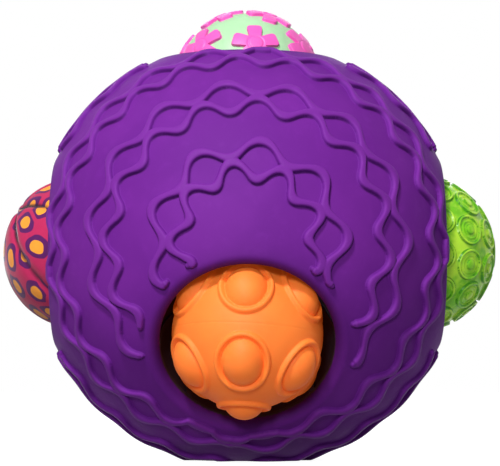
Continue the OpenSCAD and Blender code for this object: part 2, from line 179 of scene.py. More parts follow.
class FabricBallSettings(bpy.types.PropertyGroup):
    radius: length("Radius", "Radius of the ball over its padding", 32.2 * MM)
    seam_depth: length("Seam depth", "How far the seams draw in", 1.7 * MM)
    lean: angle("Lean", "Lean of the axis on which the panels meet", -55)
    turned: angle("Turn", "Turn of that axis to the front", 14)
    swing: angle("Swing", "Turn of the panels about their own axis", -16)
    panels: count("Panels", "Panels round the axis", 6)
    stitch_length: length("Stitch length", "Length of a stitch with its gap", 2.2 * MM)
    thread_radius: length("Thread radius", "Radius of the sewing thread", 0.22 * MM)
    net: colour("Net", "Colour of the net of the print", srgb(182, 36, 86))
    cell: colour("Cell", "Colour of the cells of the print", srgb(84, 20, 88))
    dot: colour("Dot", "Colour of the dots of the print", srgb(250, 156, 52))
    thread: colour("Thread", "Colour of the sewing thread", srgb(36, 14, 34))
    filling: colour("Filling", "Colour of the rattle's case", srgb(226, 222, 214))
    rattle: colour("Rattle bead", "Colour of the bead in the rattle", srgb(196, 40, 40))


class MintBallSettings(bpy.types.PropertyGroup):
    radius: length("Radius", "Radius of the ball between its flowers", 30.2 * MM)
    petal_height: length("Petal height", "Height of a flower over the ball", 1.4 * MM)
    flower_radius: length("Flower radius", "Radius of a flower", 10 * MM)
    petal_width: length("Petal width", "Width of a petal near its tip", 6.4 * MM)
    petal_round: length("Petal round", "Rounding of a petal's corners", 1.4 * MM)
    petal_flare: angle("Petal flare", "How far a petal's two flanks lean out", 7)
    heart_radius: length("Heart radius", "Radius of the button in a flower's middle", 3.2 * MM)
    edge_round: length("Edge round", "Rounding of a flower's upper edge", 0.5 * MM)
    petals: count("Petals", "Petals of a flower", 5)
    detail: count("Detail", "Faces along a quarter of the ball", 72)
    mint: colour("Mint", "Colour of the ball", srgb(168, 214, 166))
    pink: colour("Pink", "Colour of the flowers", srgb(240, 90, 186))


class BlueBallSettings(bpy.types.PropertyGroup):
    radius: length("Radius", "Radius of the ball between its nubs", 31.2 * MM)
    nub_height: length("Nub height", "Height of a nub over the ball", 1.6 * MM)
    nub_radius: length("Nub radius", "Radius of a nub", 2.4 * MM)
    detail: count("Detail", "Faces along a quarter of the ball", 104)
    vinyl: colour("Vinyl", "Colour of the ball", srgb(40, 150, 224))
    bead: colour("Bead", "Colour of the loose beads", srgb(246, 200, 60))


class SoundSettings(bpy.types.PropertyGroup):
    bell: colour("Bell", "Colour of the jingle bells", srgb(206, 204, 198))
    pellet: colour("Pellet", "Colour of the bells' pellets", srgb(120, 118, 116))


class StageSettings(bpy.types.PropertyGroup):
    camera_distance: length("Camera distance", "From the camera to the outer ball's centre", 0.88)
    camera_drop: angle("Camera drop", "How far the camera stands under the ball's centre", 3.5)
    aim_up: length("Aim up", "How far over the outer ball's centre the camera aims", 8.3 * MM)
    aim_right: length("Aim right", "How far right of the outer ball's centre the camera aims",
                      1.04 * MM)
    lens: FloatProperty(name="Lens", description="Focal length of the camera", default=152.6, min=1,
                        unit="CAMERA")
    floor_glow: FloatProperty(name="Floor glow", default=0.95, min=0,
                              description="White that the camera sees over the floor's own light")
    floor: colour("Floor", "Colour of the floor", srgb(120, 120, 122))


SETTINGS = {
    "outer_ball": OuterBallSettings,
    "orange_ball": OrangeBallSettings,
    "green_ball": GreenBallSettings,
    "fabric_ball": FabricBallSettings,
    "mint_ball": MintBallSettings,
    "blue_ball": BlueBallSettings,
    "sound_makers": SoundSettings,
    "stage": StageSettings,
}


# Shader maths

WHITE = (1, 1, 1)


class Wire:
    """One output of a node. Arithmetic on it adds Math nodes."""

    def __init__(self, nodes, socket):
        self.nodes, self.socket = nodes, socket

    def math(self, operation, *values):
        return self.nodes.node("ShaderNodeMath", {"operation": operation}, dict(enumerate(values)))

    def __add__(self, other):
        return self.math("ADD", self, other)

    __radd__ = __add__

    def __mul__(self, other):
        return self.math("MULTIPLY", self, other)

    __rmul__ = __mul__

    def __sub__(self, other):
        return self.math("SUBTRACT", self, other)

    def __rsub__(self, other):
        return self.math("SUBTRACT", other, self)

    def fade(self, low, high):
        """0 under low, 1 over high, and smooth between them."""
        return self.nodes.node("ShaderNodeMapRange", {"interpolation_type": "SMOOTHSTEP"},
                               {"Value": self, "From Min": low, "From Max": high})


class Nodes:
    """The nodes of a material or of the world."""

    def __init__(self, owner):
        owner.use_nodes = True
        self.tree = owner.node_tree

    def feed(self, socket, value):
        """Links a wire to a socket, or sets the socket to a value."""
        if isinstance(value, Wire):
            self.tree.links.new(value.socket, socket)
        elif socket.type == "RGBA" and len(value) == 3:
            socket.default_value = (*value, 1)
        else:
            socket.default_value = value

    def node(self, kind, settings=None, inputs=None, output=0):
        """A new node: its settings first, then its inputs' values or links. Returns one output."""
        made = self.tree.nodes.new(kind)
        for name, value in (settings or {}).items():
            setattr(made, name, value)
        for name, value in (inputs or {}).items():
            self.feed(made.inputs[name], value)
        return Wire(self, made.outputs[output])

    def vector(self, operation, *values, output="Vector"):
        return self.node("ShaderNodeVectorMath", {"operation": operation},
                         dict(enumerate(values)), output)

    def mix(self, factor, first, second, blend="MIX"):
        """A colour between two colours."""
        return self.node("ShaderNodeMix", {"data_type": "RGBA", "blend_type": blend},
                         {0: factor, 6: first, 7: second}, 2)

    def white(self, kind, strength):
        """White light, of an Emission or a Background node."""
        return self.node(kind, inputs={"Color": WHITE, "Strength": strength})

    def for_eye(self, given, seen):
        """One shader for the light given to surfaces, and one for what camera and mirrors see."""
        ray = self.node("ShaderNodeLightPath", output="Is Camera Ray")
        for other in ("Is Glossy Ray", "Is Transmission Ray"):
            also = self.node("ShaderNodeLightPath", output=other)
            ray = self.node("ShaderNodeMath", {"operation": "ADD", "use_clamp": True},
                            {0: ray, 1: also})
        return self.node("ShaderNodeMixShader", inputs={0: ray, 1: given, 2: seen})


class Finish(Nodes):
    """A material with one Principled shader, and the nodes that feed it."""

    def __init__(self, name, **fixed):
        self.material = bpy.data.materials.new(name)
        super().__init__(self.material)
        self.shader = self.tree.nodes["Principled BSDF"]
        self.place = self.node("ShaderNodeTexCoord", output="Object")
        self.set(**fixed)

    def set(self, **inputs):
        """Feeds the shader's sockets, which are named with underscores. Returns the material."""
        for words, value in inputs.items():
            name = words.replace("_", " ").title().replace("Ior", "IOR")
            self.feed(self.shader.inputs[name], value)
        return self.material

    def away_from(self, centre):
        """Distance from a point of the object's own space."""
        return self.vector("DISTANCE", self.place, tuple(centre), output="Value")

    def noise(self, size, detail=2, roughness=0.5):
        """Noise from 0 to 1, whose features are about the given size in metres."""
        return self.node("ShaderNodeTexNoise", {"noise_dimensions": "3D"}, {
            "Vector": self.place, "Scale": 1 / size, "Detail": detail, "Roughness": roughness})

    def paler(self, factor, shade):
        """A colour with white laid softly over it."""
        return self.mix(factor, shade, WHITE, "SOFT_LIGHT")

    def bump(self, height, depth, strength, normal=None):
        inputs = {"Height": height, "Distance": depth, "Strength": strength}
        if normal:
            inputs["Normal"] = normal
        return self.node("ShaderNodeBump", inputs=inputs)


def toned(shade, share):
    """The same colour, darker for a share under 1 and lighter for one over it."""
    return tuple(min(1, value * share) for value in shade)


def soft_vinyl(name, shade, deep_share, grain=0.8 * MM, roughness=0.45, **fixed):
    """Moulded vinyl: slow drift of its colour, fine grain and rubbed places that shine more."""
    finish = Finish(name, **fixed)
    drift = finish.noise(22 * MM, 3).fade(0.3, 0.7)
    rubbed = finish.noise(7 * MM, 4, 0.6).fade(0.42, 0.72)
    fine = finish.noise(grain, 3, 0.6)
    tone = finish.mix(drift * 0.35, shade, toned(shade, deep_share))
    return finish.set(
        base_color=finish.paler(rubbed * 0.12, tone),
        roughness=roughness + 0.12 * fine - 0.1 * rubbed,
        normal=finish.bump(fine, 0.03 * MM, 0.5),
    )


# Meshes


def unit(ways):
    return ways / np.linalg.norm(ways, axis=-1, keepdims=True)


def smooth_step(values):
    values = np.clip(values, 0, 1)
    return values * values * (3 - 2 * values)


def turn(axis, angle_turned):
    """The matrix of a turn about X, Y or Z, in radians."""
    c, s = math.cos(angle_turned), math.sin(angle_turned)
    rows = {"X": [[1, 0, 0], [0, c, -s], [0, s, c]],
            "Y": [[c, 0, s], [0, 1, 0], [-s, 0, c]],
            "Z": [[c, -s, 0], [s, c, 0], [0, 0, 1]]}
    return np.array(rows[axis])


def ball_grid(steps):
    """Unit ways over a ball and the four-sided faces between them, from six curved squares."""
    lines = np.tan(np.linspace(-np.pi / 4, np.pi / 4, steps + 1))
    across, up = np.meshgrid(lines, lines, indexing="ij")
    corner = np.arange((steps + 1) ** 2).reshape(steps + 1, steps + 1)
    faces = np.stack([corner[:-1, :-1], corner[1:, :-1], corner[1:, 1:], corner[:-1, 1:]], -1)
    faces = faces.reshape(-1, 4)
    ways, squares = [], []
    for axis in range(3):
        for side in (1, -1):
            square = np.full((steps + 1, steps + 1, 3), float(side))
            square[..., (axis + 1) % 3] = across
            square[..., (axis + 2) % 3] = up
            squares.append((faces if side > 0 else faces[:, ::-1]) + len(ways) * corner.size)
            ways.append(unit(square.reshape(-1, 3)))
    ways = np.concatenate(ways)
    # Adding 0.0 makes one value of 0.0 and -0.0
    _, first, same = np.unique(np.round(ways, 7) + 0.0, axis=0, return_index=True,
                               return_inverse=True)
    return ways[first], same.reshape(-1)[np.concatenate(squares)]


def half_of(ways, faces, axis, side):
    """The faces on one side of the plane through the middle, with only the ways that they use."""
    kept = faces[side * ways[faces].mean(1)[:, axis] > 0]
    used, renumbered = np.unique(kept, return_inverse=True)
    return ways[used], renumbered.reshape(kept.shape)


def refine(ways, faces, chosen):
    """Splits each chosen face into four. Its neighbours take in the middles of their edges."""
    middles, added = {}, []

    def middle(one, other):
        edge = (min(one, other), max(one, other))
        if edge not in middles:
            middles[edge] = len(ways) + len(added)
            added.append(ways[one] + ways[other])
        return middles[edge]

    split, kept = [], []
    for face, wanted in zip(faces, chosen):
        if not wanted:
            kept.append(face)
            continue
        a, b, c, d = face
        ab, bc, cd, da = middle(a, b), middle(b, c), middle(c, d), middle(d, a)
        heart = len(ways) + len(added)
        added.append(ways[a] + ways[c])
        split += [[a, ab, heart, da], [ab, b, bc, heart], [heart, bc, c, cd], [da, heart, cd, d]]
    for face in kept:
        grown = []
        for one, other in zip(face, face[1:] + face[:1]):
            grown.append(one)
            edge = (min(one, other), max(one, other))
            if edge in middles:
                grown.append(middles[edge])
        split.append(grown)
    return np.concatenate([ways, unit(np.array(added))]), split


def net_faces(rings, number, last=None):
    """Faces of a round net: a fan to point 0, its rings of points, and a fan to any last point."""
    index = np.arange(rings * number).reshape(rings, number) + 1
    ahead = np.roll(index, -1, axis=1)
    faces = np.stack([index[:-1], index[1:], ahead[1:], ahead[:-1]], -1).reshape(-1, 4).tolist()
    faces += [[0, one, other] for one, other in zip(index[0].tolist(), ahead[0].tolist())]
    if last:
        faces += [[one, last, other]
                  for one, other in zip(index[-1].tolist(), ahead[-1].tolist())]
    return faces


def ball_points(radius, polar, azimuth):
    """Points at a radius, an angle from the upright axis and an azimuth."""
    aside = radius * np.sin(polar)
    return np.stack([aside * np.cos(azimuth), aside * np.sin(azimuth), radius * np.cos(polar)], -1)


def run_along(points):
    """Length of the line from its first point to each of its points."""
    steps = np.linalg.norm(np.diff(points, axis=0), axis=1)
    return np.concatenate([[0], np.cumsum(steps)])


def hump(away, width):
    """1 where away is 0, and next to nothing past about twice the width."""
    return np.exp(-(away / width) ** 2)


# Pieces


def new_object(name, data):
    """An object in the scene, with a mesh, lamp or camera as its data."""
    made = bpy.data.objects.new(name, data)
    bpy.context.scene.collection.objects.link(made)
    return made


def new_mesh(name, points, faces):
    mesh = bpy.data.meshes.new(name)
    mesh.from_pydata(points.tolist(), [], faces)
    return mesh


def points_of(mesh):
    return np.array([vertex.co for vertex in mesh.vertices])


def move_points(mesh, points):
    mesh.vertices.foreach_set("co", points.astype(np.float32).reshape(-1))
    mesh.update()


def let_ride(piece, body, materials, material_of_face=None):
    """Shades a mesh object smooth in its materials, and lets it ride on a body."""
    mesh = piece.data
    for material in materials:
        mesh.materials.append(material)
    mesh.polygons.foreach_set("use_smooth", np.ones(len(mesh.polygons), bool))
    if material_of_face is not None:
        mesh.polygons.foreach_set("material_index", np.asarray(material_of_face, np.int32))
    mesh.update()
    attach(piece, body)
    return piece


def add_piece(name, points, faces, body, materials, material_of_face=None):
    """A new piece of points and faces that rides on a body."""
    piece = new_object(name, new_mesh(name, points, faces))
    return let_ride(piece, body, materials, material_of_face)


def dress(material, *nodes):
    """Gives CAD nodes a better material."""
    for node in nodes:
        mesh = frame["nodes"][node].data
        mesh.materials.clear()
        mesh.materials.append(material)


def ball_place(ball):
    """A small ball's centre, and the way out through its hole."""
    joint = joints[ball + "_spin"]
    return np.array(joint["pos_m"], float), unit(np.array(joint["axis"], float))


def along_hole(ball):
    """The turn that carries +Z to a small ball's way out, as the part's source turns the ball."""
    out = ball_place(ball)[1]
    if abs(out[0]) > 0.5:
        return turn("Y", math.copysign(math.pi / 2, out[0]))
    if abs(out[1]) > 0.5:
        return turn("X", -math.copysign(HOLE_TURN, out[1]))
    return np.eye(3)


def mould_line(ways, radius, depth, width=0.3 * MM):
    """Depth of the fine line where the two halves of a small ball meet."""
    return depth * hump(ways[:, 2] * radius, width)


def add_halves(ball, material, detail, radius_of, own,
               ends=("outer", "inner"), kind="skin", hollow=0):
    """The two halves of a small ball, one on each side of its mould line.

    radius_of gives the ball's radius for each way, and own is the turn that lays the ball in its
    hole. The radius of a hollow adds the inner wall of a clear ball.
    """
    centre = ball_place(ball)[0]
    grid = ball_grid(detail)
    for end, side in zip(ends, (1, -1)):
        ways, faces = half_of(*grid, 2, side)
        points = ways * radius_of(ways)[:, None]
        if hollow:
            inner_ways, inner_faces = half_of(*ball_grid(detail // 3), 2, side)
            points = np.concatenate([points, inner_ways * hollow])
            faces = np.concatenate([faces, inner_faces[:, ::-1] + len(ways)])
        piece = add_piece(f"{ball}_{end}_{kind}", points @ own.T + centre, faces.tolist(),
                          f"{ball}_ball", [material])
        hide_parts(f"{ball}_{end}_half")


# The outer ball

SIDE_SPANS = ((29, 61), (119, 241), (299, 331))
RIDGE_RINGS = (
    # Azimuth of the crest that a ring's two strands share, and then for each strand its waves in
    # a turn, its waves in a turn past LATE, and the spans of azimuth that it runs over
    (8.5, (8.9, 8.9, ((-119, 119),)), (9.0, 9.0, ((-124, 121),))),
    (16.0, (15.5, 15.5, ((-129, 128),)), (14.75, 14.75, ((-137, 139),))),
    (5.0, (22.0, 20.1, ((0, 360),)), (21.0, 21.6, ((0, 360),))),
    (45.0, (25.0, 25.0, SIDE_SPANS), (24.0, 24.0, SIDE_SPANS)),
)
LATE = math.radians(100)
# Rings round a half's own hole that keep off the other holes only
OPEN_RINGS = 2
FIRST_RING, RING_STEP = math.radians(20.2), math.radians(19.3)
HOLE_TURN = math.radians(120)
# From a lip's crown to the nearest crest, and what the middle of a ring keeps more than that
CREST_KEEP, RING_KEEP = 1.9 * MM, 1.4 * MM
# Degrees from way to way along a crest, for a ring as wide as the ball
CREST_STEP = 0.12
# Radians to either side over which the direction of a ring is taken
DIRECTION_STEP = 0.0175
# Fullness of a ridge at its very end, before it tapers up to 1
END_FULLNESS = 0.75
# Share of a ridge's width at the middle of its swing, and what it gains at either side
NARROWEST, BULGE = 0.72, 0.38
# A ridge's cross-section: 2 would be a half ellipse, and more is squarer
SQUARENESS = 3.4
# The way in which a ridge's painted shadow falls over the skin beside it, away from the key lamp:
# down, and a little right and rearward
SHADOW_WAY = np.array([0.3, 0.5, -1])
# Share of a ridge's half width over which its painted shadow sets in, and how soft its sides are
SHADOW_RISE, SHADOW_SOFTNESS = 0.3, 0.7
# Painted shade on a lip's crown, and what its throat has more
LIP_SHADE, THROAT_SHADE = 0.3, 0.6
CROWN_REACH = 4.4 * MM
SKIN, LIP, THROAT, BEYOND = range(4)


class OuterBallShape:
    """The skin of the outer ball: its ridges, the round lips of its holes and its flat foot."""

    def __init__(self, sizes):
        self.sizes = sizes
        self.lip_middle_r = sizes.throat_radius + sizes.lip_round
        self.lip_middle_z = math.sqrt(
            (sizes.skin_radius - sizes.lip_round + sizes.lip_crown) ** 2 - self.lip_middle_r ** 2)
        self.lip_angle = math.atan2(self.lip_middle_r, self.lip_middle_z)
        self.crest_keep = self.lip_angle + CREST_KEEP / sizes.skin_radius
        self.ring_keep = self.crest_keep + (sizes.wave_swing + RING_KEEP) / sizes.skin_radius

    def hole_axes(self, side):
        """Axes of a half's own hole and of the three holes that it shares with the other half."""
        own = [0, side * math.sin(HOLE_TURN), math.cos(HOLE_TURN)]
        return np.array([own, [0, 0, 1], [1, 0, 0], [-1, 0, 0]])

    def past_lip(self, ways, axes):
        """Run over the skin from the crown of the nearest lip, less than 0 inside its hole."""
        nearest = np.arccos(np.clip(ways @ axes.T, -1, 1)).min(1)
        return (nearest - self.lip_angle) * self.sizes.skin_radius

    def kept_off(self, ways, axes, keep):
        """Ways of which none is nearer to an axis than the angle keep."""
        for axis in axes:
            along = ways @ axis
            edge = axis * math.cos(keep) + unit(ways - along[:, None] * axis) * math.sin(keep)
            ways = np.where((along > math.cos(keep))[:, None], edge, ways)
        return ways

    def strand(self, side, ring, crest, way_side, waves, late_waves, span):
        """Closely spaced ways along the crest of one ridge, and its fullness and width there."""
        sizes = self.sizes
        axes = self.hole_axes(side)
        polar = FIRST_RING + ring * RING_STEP
        azimuth = np.radians(np.arange(*span, CREST_STEP / math.sin(polar)))

        def middle(past):
            around = azimuth + past
            ways = np.stack([np.sin(polar) * np.sin(around),
                             np.full(len(around), side * np.cos(polar)),
                             np.sin(polar) * np.cos(around)], -1)
            return self.kept_off(ways, axes[1:] if ring < OPEN_RINGS else axes, self.ring_keep)

        here = middle(0)
        across = unit(np.cross(middle(DIRECTION_STEP) - middle(-DIRECTION_STEP), here)) * -side
        past = np.abs(np.angle(np.exp(1j * (azimuth - math.radians(crest)))))
        wave = np.cos(waves * np.minimum(past, LATE) + late_waves * np.maximum(past - LATE, 0))
        offset = sizes.wave_swing + sizes.strand_room + sizes.wave_swing * wave
        ways = unit(here + across * (way_side * np.tan(offset / sizes.skin_radius))[:, None])
        ways = self.kept_off(ways, axes, self.crest_keep)
        run = run_along(ways)
        to_end = np.minimum(run, run[-1] - run) * sizes.skin_radius
        closed = span[1] - span[0] == 360
        full = np.clip(END_FULLNESS + (1 if closed else to_end / sizes.end_taper), 0, 1)
        full = full * np.ones(len(run))
        return ways, np.stack([full, full * (NARROWEST + BULGE * wave ** 2)], -1)

    def strands(self, side):
        """Ways along the crests of all the ridges in one half, with their fullness and width."""
        ways, fullness = zip(*[
            self.strand(side, ring, crest, way_side, waves, late_waves, span)
            for ring, (crest, *pair) in enumerate(RIDGE_RINGS)
            for way_side, (waves, late_waves, spans) in zip((1, -1), pair)
            for span in spans])
        return np.concatenate(ways), np.concatenate(fullness)

    def relief(self, nearest, away):
        """Height of the ridges over the skin, from the nearest crest's fullness and width."""
        full, wide = nearest.T
        share = np.clip(away / (self.sizes.ridge_half_width * wide), 0, 1)
        return self.sizes.ridge_height * full * np.sqrt(1 - share ** SQUARENESS)

    def painted_shade(self, ways, crests, nearest, away):
        """Painted shadow: 1 in the corner at a ridge's foot on the side away from the key lamp, and
        0 on the ridge's other side.
        """
        sizes = self.sizes
        foot = sizes.ridge_half_width * nearest[:, 1]
        onward = unit(SHADOW_WAY - (ways @ SHADOW_WAY)[:, None] * ways)
        side = np.sum((ways - crests) * onward, -1) * sizes.skin_radius / np.maximum(away, 1e-6)
        near = smooth_step(1 - (foot - away) / (SHADOW_RISE * foot))
        near *= 1 - smooth_step((away - foot) / sizes.shadow_reach)
        return near * np.clip(side, 0, 1) ** SHADOW_SOFTNESS * nearest[:, 0]

    def along_lip(self, run):
        """Radius from a hole's axis and height along it, at a run inward from the lip's crown.

        Also the run to the end of the lip's round, and to the end of the collar's wall.
        """
        sizes = self.sizes
        arc = sizes.lip_round * (self.lip_angle + math.pi / 2)
        depth = self.lip_middle_z - sizes.collar_end
        bend = self.lip_angle - np.minimum(run, arc) / sizes.lip_round
        down = np.clip(run - arc, 0, depth)
        outward = np.clip(run - arc - depth, 0, sizes.collar_wall)
        radius = self.lip_middle_r + sizes.lip_round * np.sin(bend) + outward
        height = self.lip_middle_z + sizes.lip_round * np.cos(bend) - down
        return radius, height, arc, arc + depth + sizes.collar_wall

    def finer_grid(self, side):
        """The grid of one half, finer at its ridges, lips and seam.

        Returns its ways and faces, and for each way the nearest ridge's fullness and width, the
        distance from its crest, and the painted shadow that the ridges lay on it.
        """
        sizes = self.sizes
        axes = self.hole_axes(side)
        crests, fullness = self.strands(side)
        tree = KDTree(len(crests))
        for number, way in enumerate(crests):
            tree.insert(way, number)
        tree.balance()
        ways, faces = half_of(*ball_grid(sizes.detail), 1, side)
        faces = faces.tolist()
        nearest, away = np.zeros(0, int), np.zeros(0)
        finest = sizes.finer_reach[1]
        for reach in (*sizes.finer_reach, None):
            found = np.array([tree.find(way)[1:] for way in ways[len(away):]])
            nearest = np.concatenate([nearest, found[:, 0].astype(int)])
            away = np.concatenate([away, found[:, 1] * sizes.skin_radius])
            if reach is None:
                painted_shade = self.painted_shade(ways, crests[nearest], fullness[nearest], away)
                return ways, faces, fullness[nearest], away, painted_shade
            past_lip = self.past_lip(ways, axes)
            at_lip = (past_lip > -sizes.lip_round * 3) & (past_lip < sizes.lip_round)
            close = np.minimum.reduce([
                away, np.where(at_lip, finest * 1.05, away),
                np.abs(ways[:, 1]) * sizes.skin_radius + finest / 2])
            chosen = [len(face) == 4 and min(close[corner] for corner in face) < reach
                      for face in faces]
            ways, faces = refine(ways, faces, chosen)

    def half(self, side):
        """One half: points, faces, which faces lie in a throat, and the painted shade at each
        point.
        """
        sizes = self.sizes
        axes = self.hole_axes(side)
        ways, faces, nearest, away, painted_shade = self.finer_grid(side)
        past_lip = self.past_lip(ways, axes)
        crown = sizes.lip_crown * np.clip(1 - past_lip / CROWN_REACH, 0, 1) ** 2
        radius = sizes.skin_radius + np.maximum(self.relief(nearest, away), crown)
        radius -= np.where(np.abs(ways[:, 1]) < 1e-6, sizes.seam_depth, 0)
        points = ways * radius[:, None]
        # Painted shade round each hole's lip
        painted_shade = np.maximum(painted_shade, LIP_SHADE * np.exp(-np.maximum(past_lip, 0) / sizes.lip_round))
        depth = np.full(len(ways), SKIN)
        for axis in axes:
            polar = np.arccos(np.clip(ways @ axis, -1, 1))
            inside = polar < self.lip_angle
            run = (self.lip_angle - polar[inside]) * sizes.skin_radius
            aside, height, arc, whole = self.along_lip(run)
            around = unit(ways[inside] - (ways[inside] @ axis)[:, None] * axis + 1e-9)
            points[inside] = around * aside[:, None] + axis * height[:, None]
            depth[inside] = np.where(run < whole, np.where(run > arc * 0.85, THROAT, LIP), BEYOND)
            # Painted shade over the lip, darker down into the throat
            painted_shade[inside] = LIP_SHADE + THROAT_SHADE * smooth_step(run / arc * 1.5)
        points += np.array(ball_centre)
        points[:, 2] = np.maximum(points[:, 2], 0)
        shallowest = [min(depth[corner] for corner in face) for face in faces]
        faces = [face for face, least in zip(faces, shallowest) if least < BEYOND]
        in_throat = [least == THROAT for least in shallowest if least < BEYOND]
        used = np.unique(np.concatenate(faces))
        place = np.zeros(len(ways), int)
        place[used] = np.arange(len(used))
        return points[used], [place[face].tolist() for face in faces], in_throat, painted_shade[used]


def purple_vinyl(sizes):
    """Vinyl with painted shade at a ridge's foot and round the lips, a crest lighter from wear and
    painted highlight, and painted shadow in the corner under a ridge.
    """
    finish = Finish("purple_vinyl", specular_ior_level=0.08)
    over = finish.away_from(ball_centre)
    # Lighter crests: wear, and a painted highlight where the light falls on them
    crest = over.fade(sizes.skin_radius + 0.35 * MM, sizes.skin_radius + sizes.ridge_height)
    # Painted shade at the foot of a ridge
    foot = over.fade(sizes.skin_radius + 0.02 * MM, sizes.skin_radius + 0.25 * MM)
    drift = finish.noise(30 * MM, 3).fade(0.35, 0.65)
    scuff = finish.noise(5 * MM, 5, 0.65).fade(0.5, 0.75)
    fine = finish.noise(0.6 * MM, 3, 0.6)
    # Painted shadow under the ridges and painted shade round the lips, kept on the mesh's points
    painted_shade = finish.node("ShaderNodeAttribute", {"attribute_name": "painted_shade"}, output="Fac")
    skin = finish.mix(drift * 0.3, sizes.vinyl, sizes.deep_tone_and_shade)
    foot_shaded = finish.mix(foot * (1 - crest) * 0.5, skin, sizes.deep_tone_and_shade)
    worn_and_lit = finish.mix(crest * 0.7, foot_shaded, sizes.worn_and_lit_vinyl)
    return finish.set(
        # Painted shadow in the corner under a ridge, over the skin
        base_color=finish.paler(scuff * 0.1, finish.mix(painted_shade * 0.75, worn_and_lit, sizes.corner)),
        roughness=0.58 + 0.1 * fine - 0.08 * crest - 0.06 * scuff,
        normal=finish.bump(fine, 0.03 * MM, 0.6),
    )


def shade_dark_vinyl(name, sizes):
    """Near-black vinyl of the throats and the pocket cups: painted shade for the gaps round the
    balls.
    """
    return soft_vinyl(name, sizes.pocket_shade, 0.5, 1.2 * MM, 0.6)


class BALL_OT_outer(bpy.types.Operator):
    """Make the two halves of the outer ball, with their ridges and the lips of the holes"""
    bl_idname = "sensory_ball.outer"
    bl_label = "Outer Ball"

    def execute(self, context):
        sizes = context.scene.outer_ball
        shape = OuterBallShape(sizes)
        # The throats take the near-black vinyl, painted shade for the gap round each ball
        materials = [purple_vinyl(sizes), shade_dark_vinyl("pocket_vinyl", sizes)]
        for name, side in (("front", -1), ("rear", 1)):
            points, faces, in_throat, painted_shade = shape.half(side)
            piece = add_piece(name + "_half", points, faces, "outer_ball",
                              materials, in_throat)
            # The painted shade of each point goes to the vinyl's colour
            shade = piece.data.attributes.new("painted_shade", "FLOAT", "POINT")
            shade.data.foreach_set("value", painted_shade.astype(np.float32))
            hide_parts(name + "_shell", name + "_ridges")
        return {"FINISHED"}


class BALL_OT_pockets(bpy.types.Operator):
    """Give the five pocket cups near-black vinyl, painted shade for the gaps round the balls"""
    bl_idname = "sensory_ball.pockets"
    bl_label = "Pocket Cups"

    def execute(self, context):
        dress(shade_dark_vinyl("cup_shade_vinyl", context.scene.outer_ball),
              "front_cup", "rear_cup", "left_cup", "right_cup", "top_cup")
        return {"FINISHED"}


# The orange ball


class OrangeShape:
    """The skin of the orange ball: oval knobs, each with a ring round it, and a mould line."""

    def __init__(self, sizes):
        self.sizes = sizes
        self.reach = sizes.radius + sizes.knob_height
        # Each knob's middle, its meridian, its half width and its half length
        self.knobs = []
        for side in (1, -1):
            self.knobs.append((np.array([0, 0, float(side)]), np.array([0, 1.0, 0]),
                               sizes.pole_knob_radius, sizes.pole_knob_radius))
            for number in range(sizes.knobs):
                around = turn("Z", 2 * math.pi * number / sizes.knobs)
                tip = around @ turn("X", math.pi / 2 - sizes.latitude)
                tip = tip * np.array([[1], [1], [side]])
                self.knobs.append((tip[:, 2], tip[:, 1],
                                   sizes.knob_half_width, sizes.knob_half_length))

    def knob(self, ways, centre, meridian, half_width, half_length):
        """Radius of the ball over one knob and its ring, and in the groove at the knob's foot."""
        sizes = self.sizes
        local = ways @ np.stack([np.cross(meridian, centre), meridian, centre], 1)
        near = local[:, 2] > 0.5
        # The knob is the cap of an ellipsoid, and each way meets it where a s^2 + b s + c is 0
        rise = self.reach - math.sqrt(sizes.radius ** 2 - half_width ** 2)
        cap = (half_width ** 2 + rise ** 2) / 2 / rise
        middle = self.reach - cap
        a = ((local / (np.array([1, half_length / half_width, 1]) * cap)) ** 2).sum(1)
        b = -2 * local[:, 2] * middle / cap ** 2
        c = (middle / cap) ** 2 - 1
        inside = b * b - 4 * a * c
        dome = np.where((inside > 0) & near, (-b + np.sqrt(np.maximum(inside, 0))) / 2 / a, 0)
        flat = local[:, :2] * sizes.radius
        oval = np.hypot(flat[:, 0] / half_width, flat[:, 1] / half_length)
        outward = np.hypot(flat[:, 0] / half_width ** 2, flat[:, 1] / half_length ** 2) + 1e-9
        away = (oval - 1) * oval / outward
        half = sizes.ring_width / 2
        bead = 1 - ((away - sizes.ring_gap - half) / half) ** 2
        ring = np.where(near, sizes.ring_height * np.maximum(bead, 0) ** 0.75, 0)
        groove = np.where(near & (away > 0), 0.25 * MM * hump(away, 0.35 * MM), 0)
        return np.maximum(dome, sizes.radius + ring) - groove

    def radius(self, ways):
        over = np.array([self.knob(ways, *knob) for knob in self.knobs])
        highest, lowest = np.maximum.reduce(over), np.minimum.reduce(over)
        plain = highest <= self.sizes.radius + 1e-7
        found = np.where(plain, np.minimum(lowest, self.sizes.radius), highest)
        return found - mould_line(ways, self.sizes.radius, 0.07 * MM)


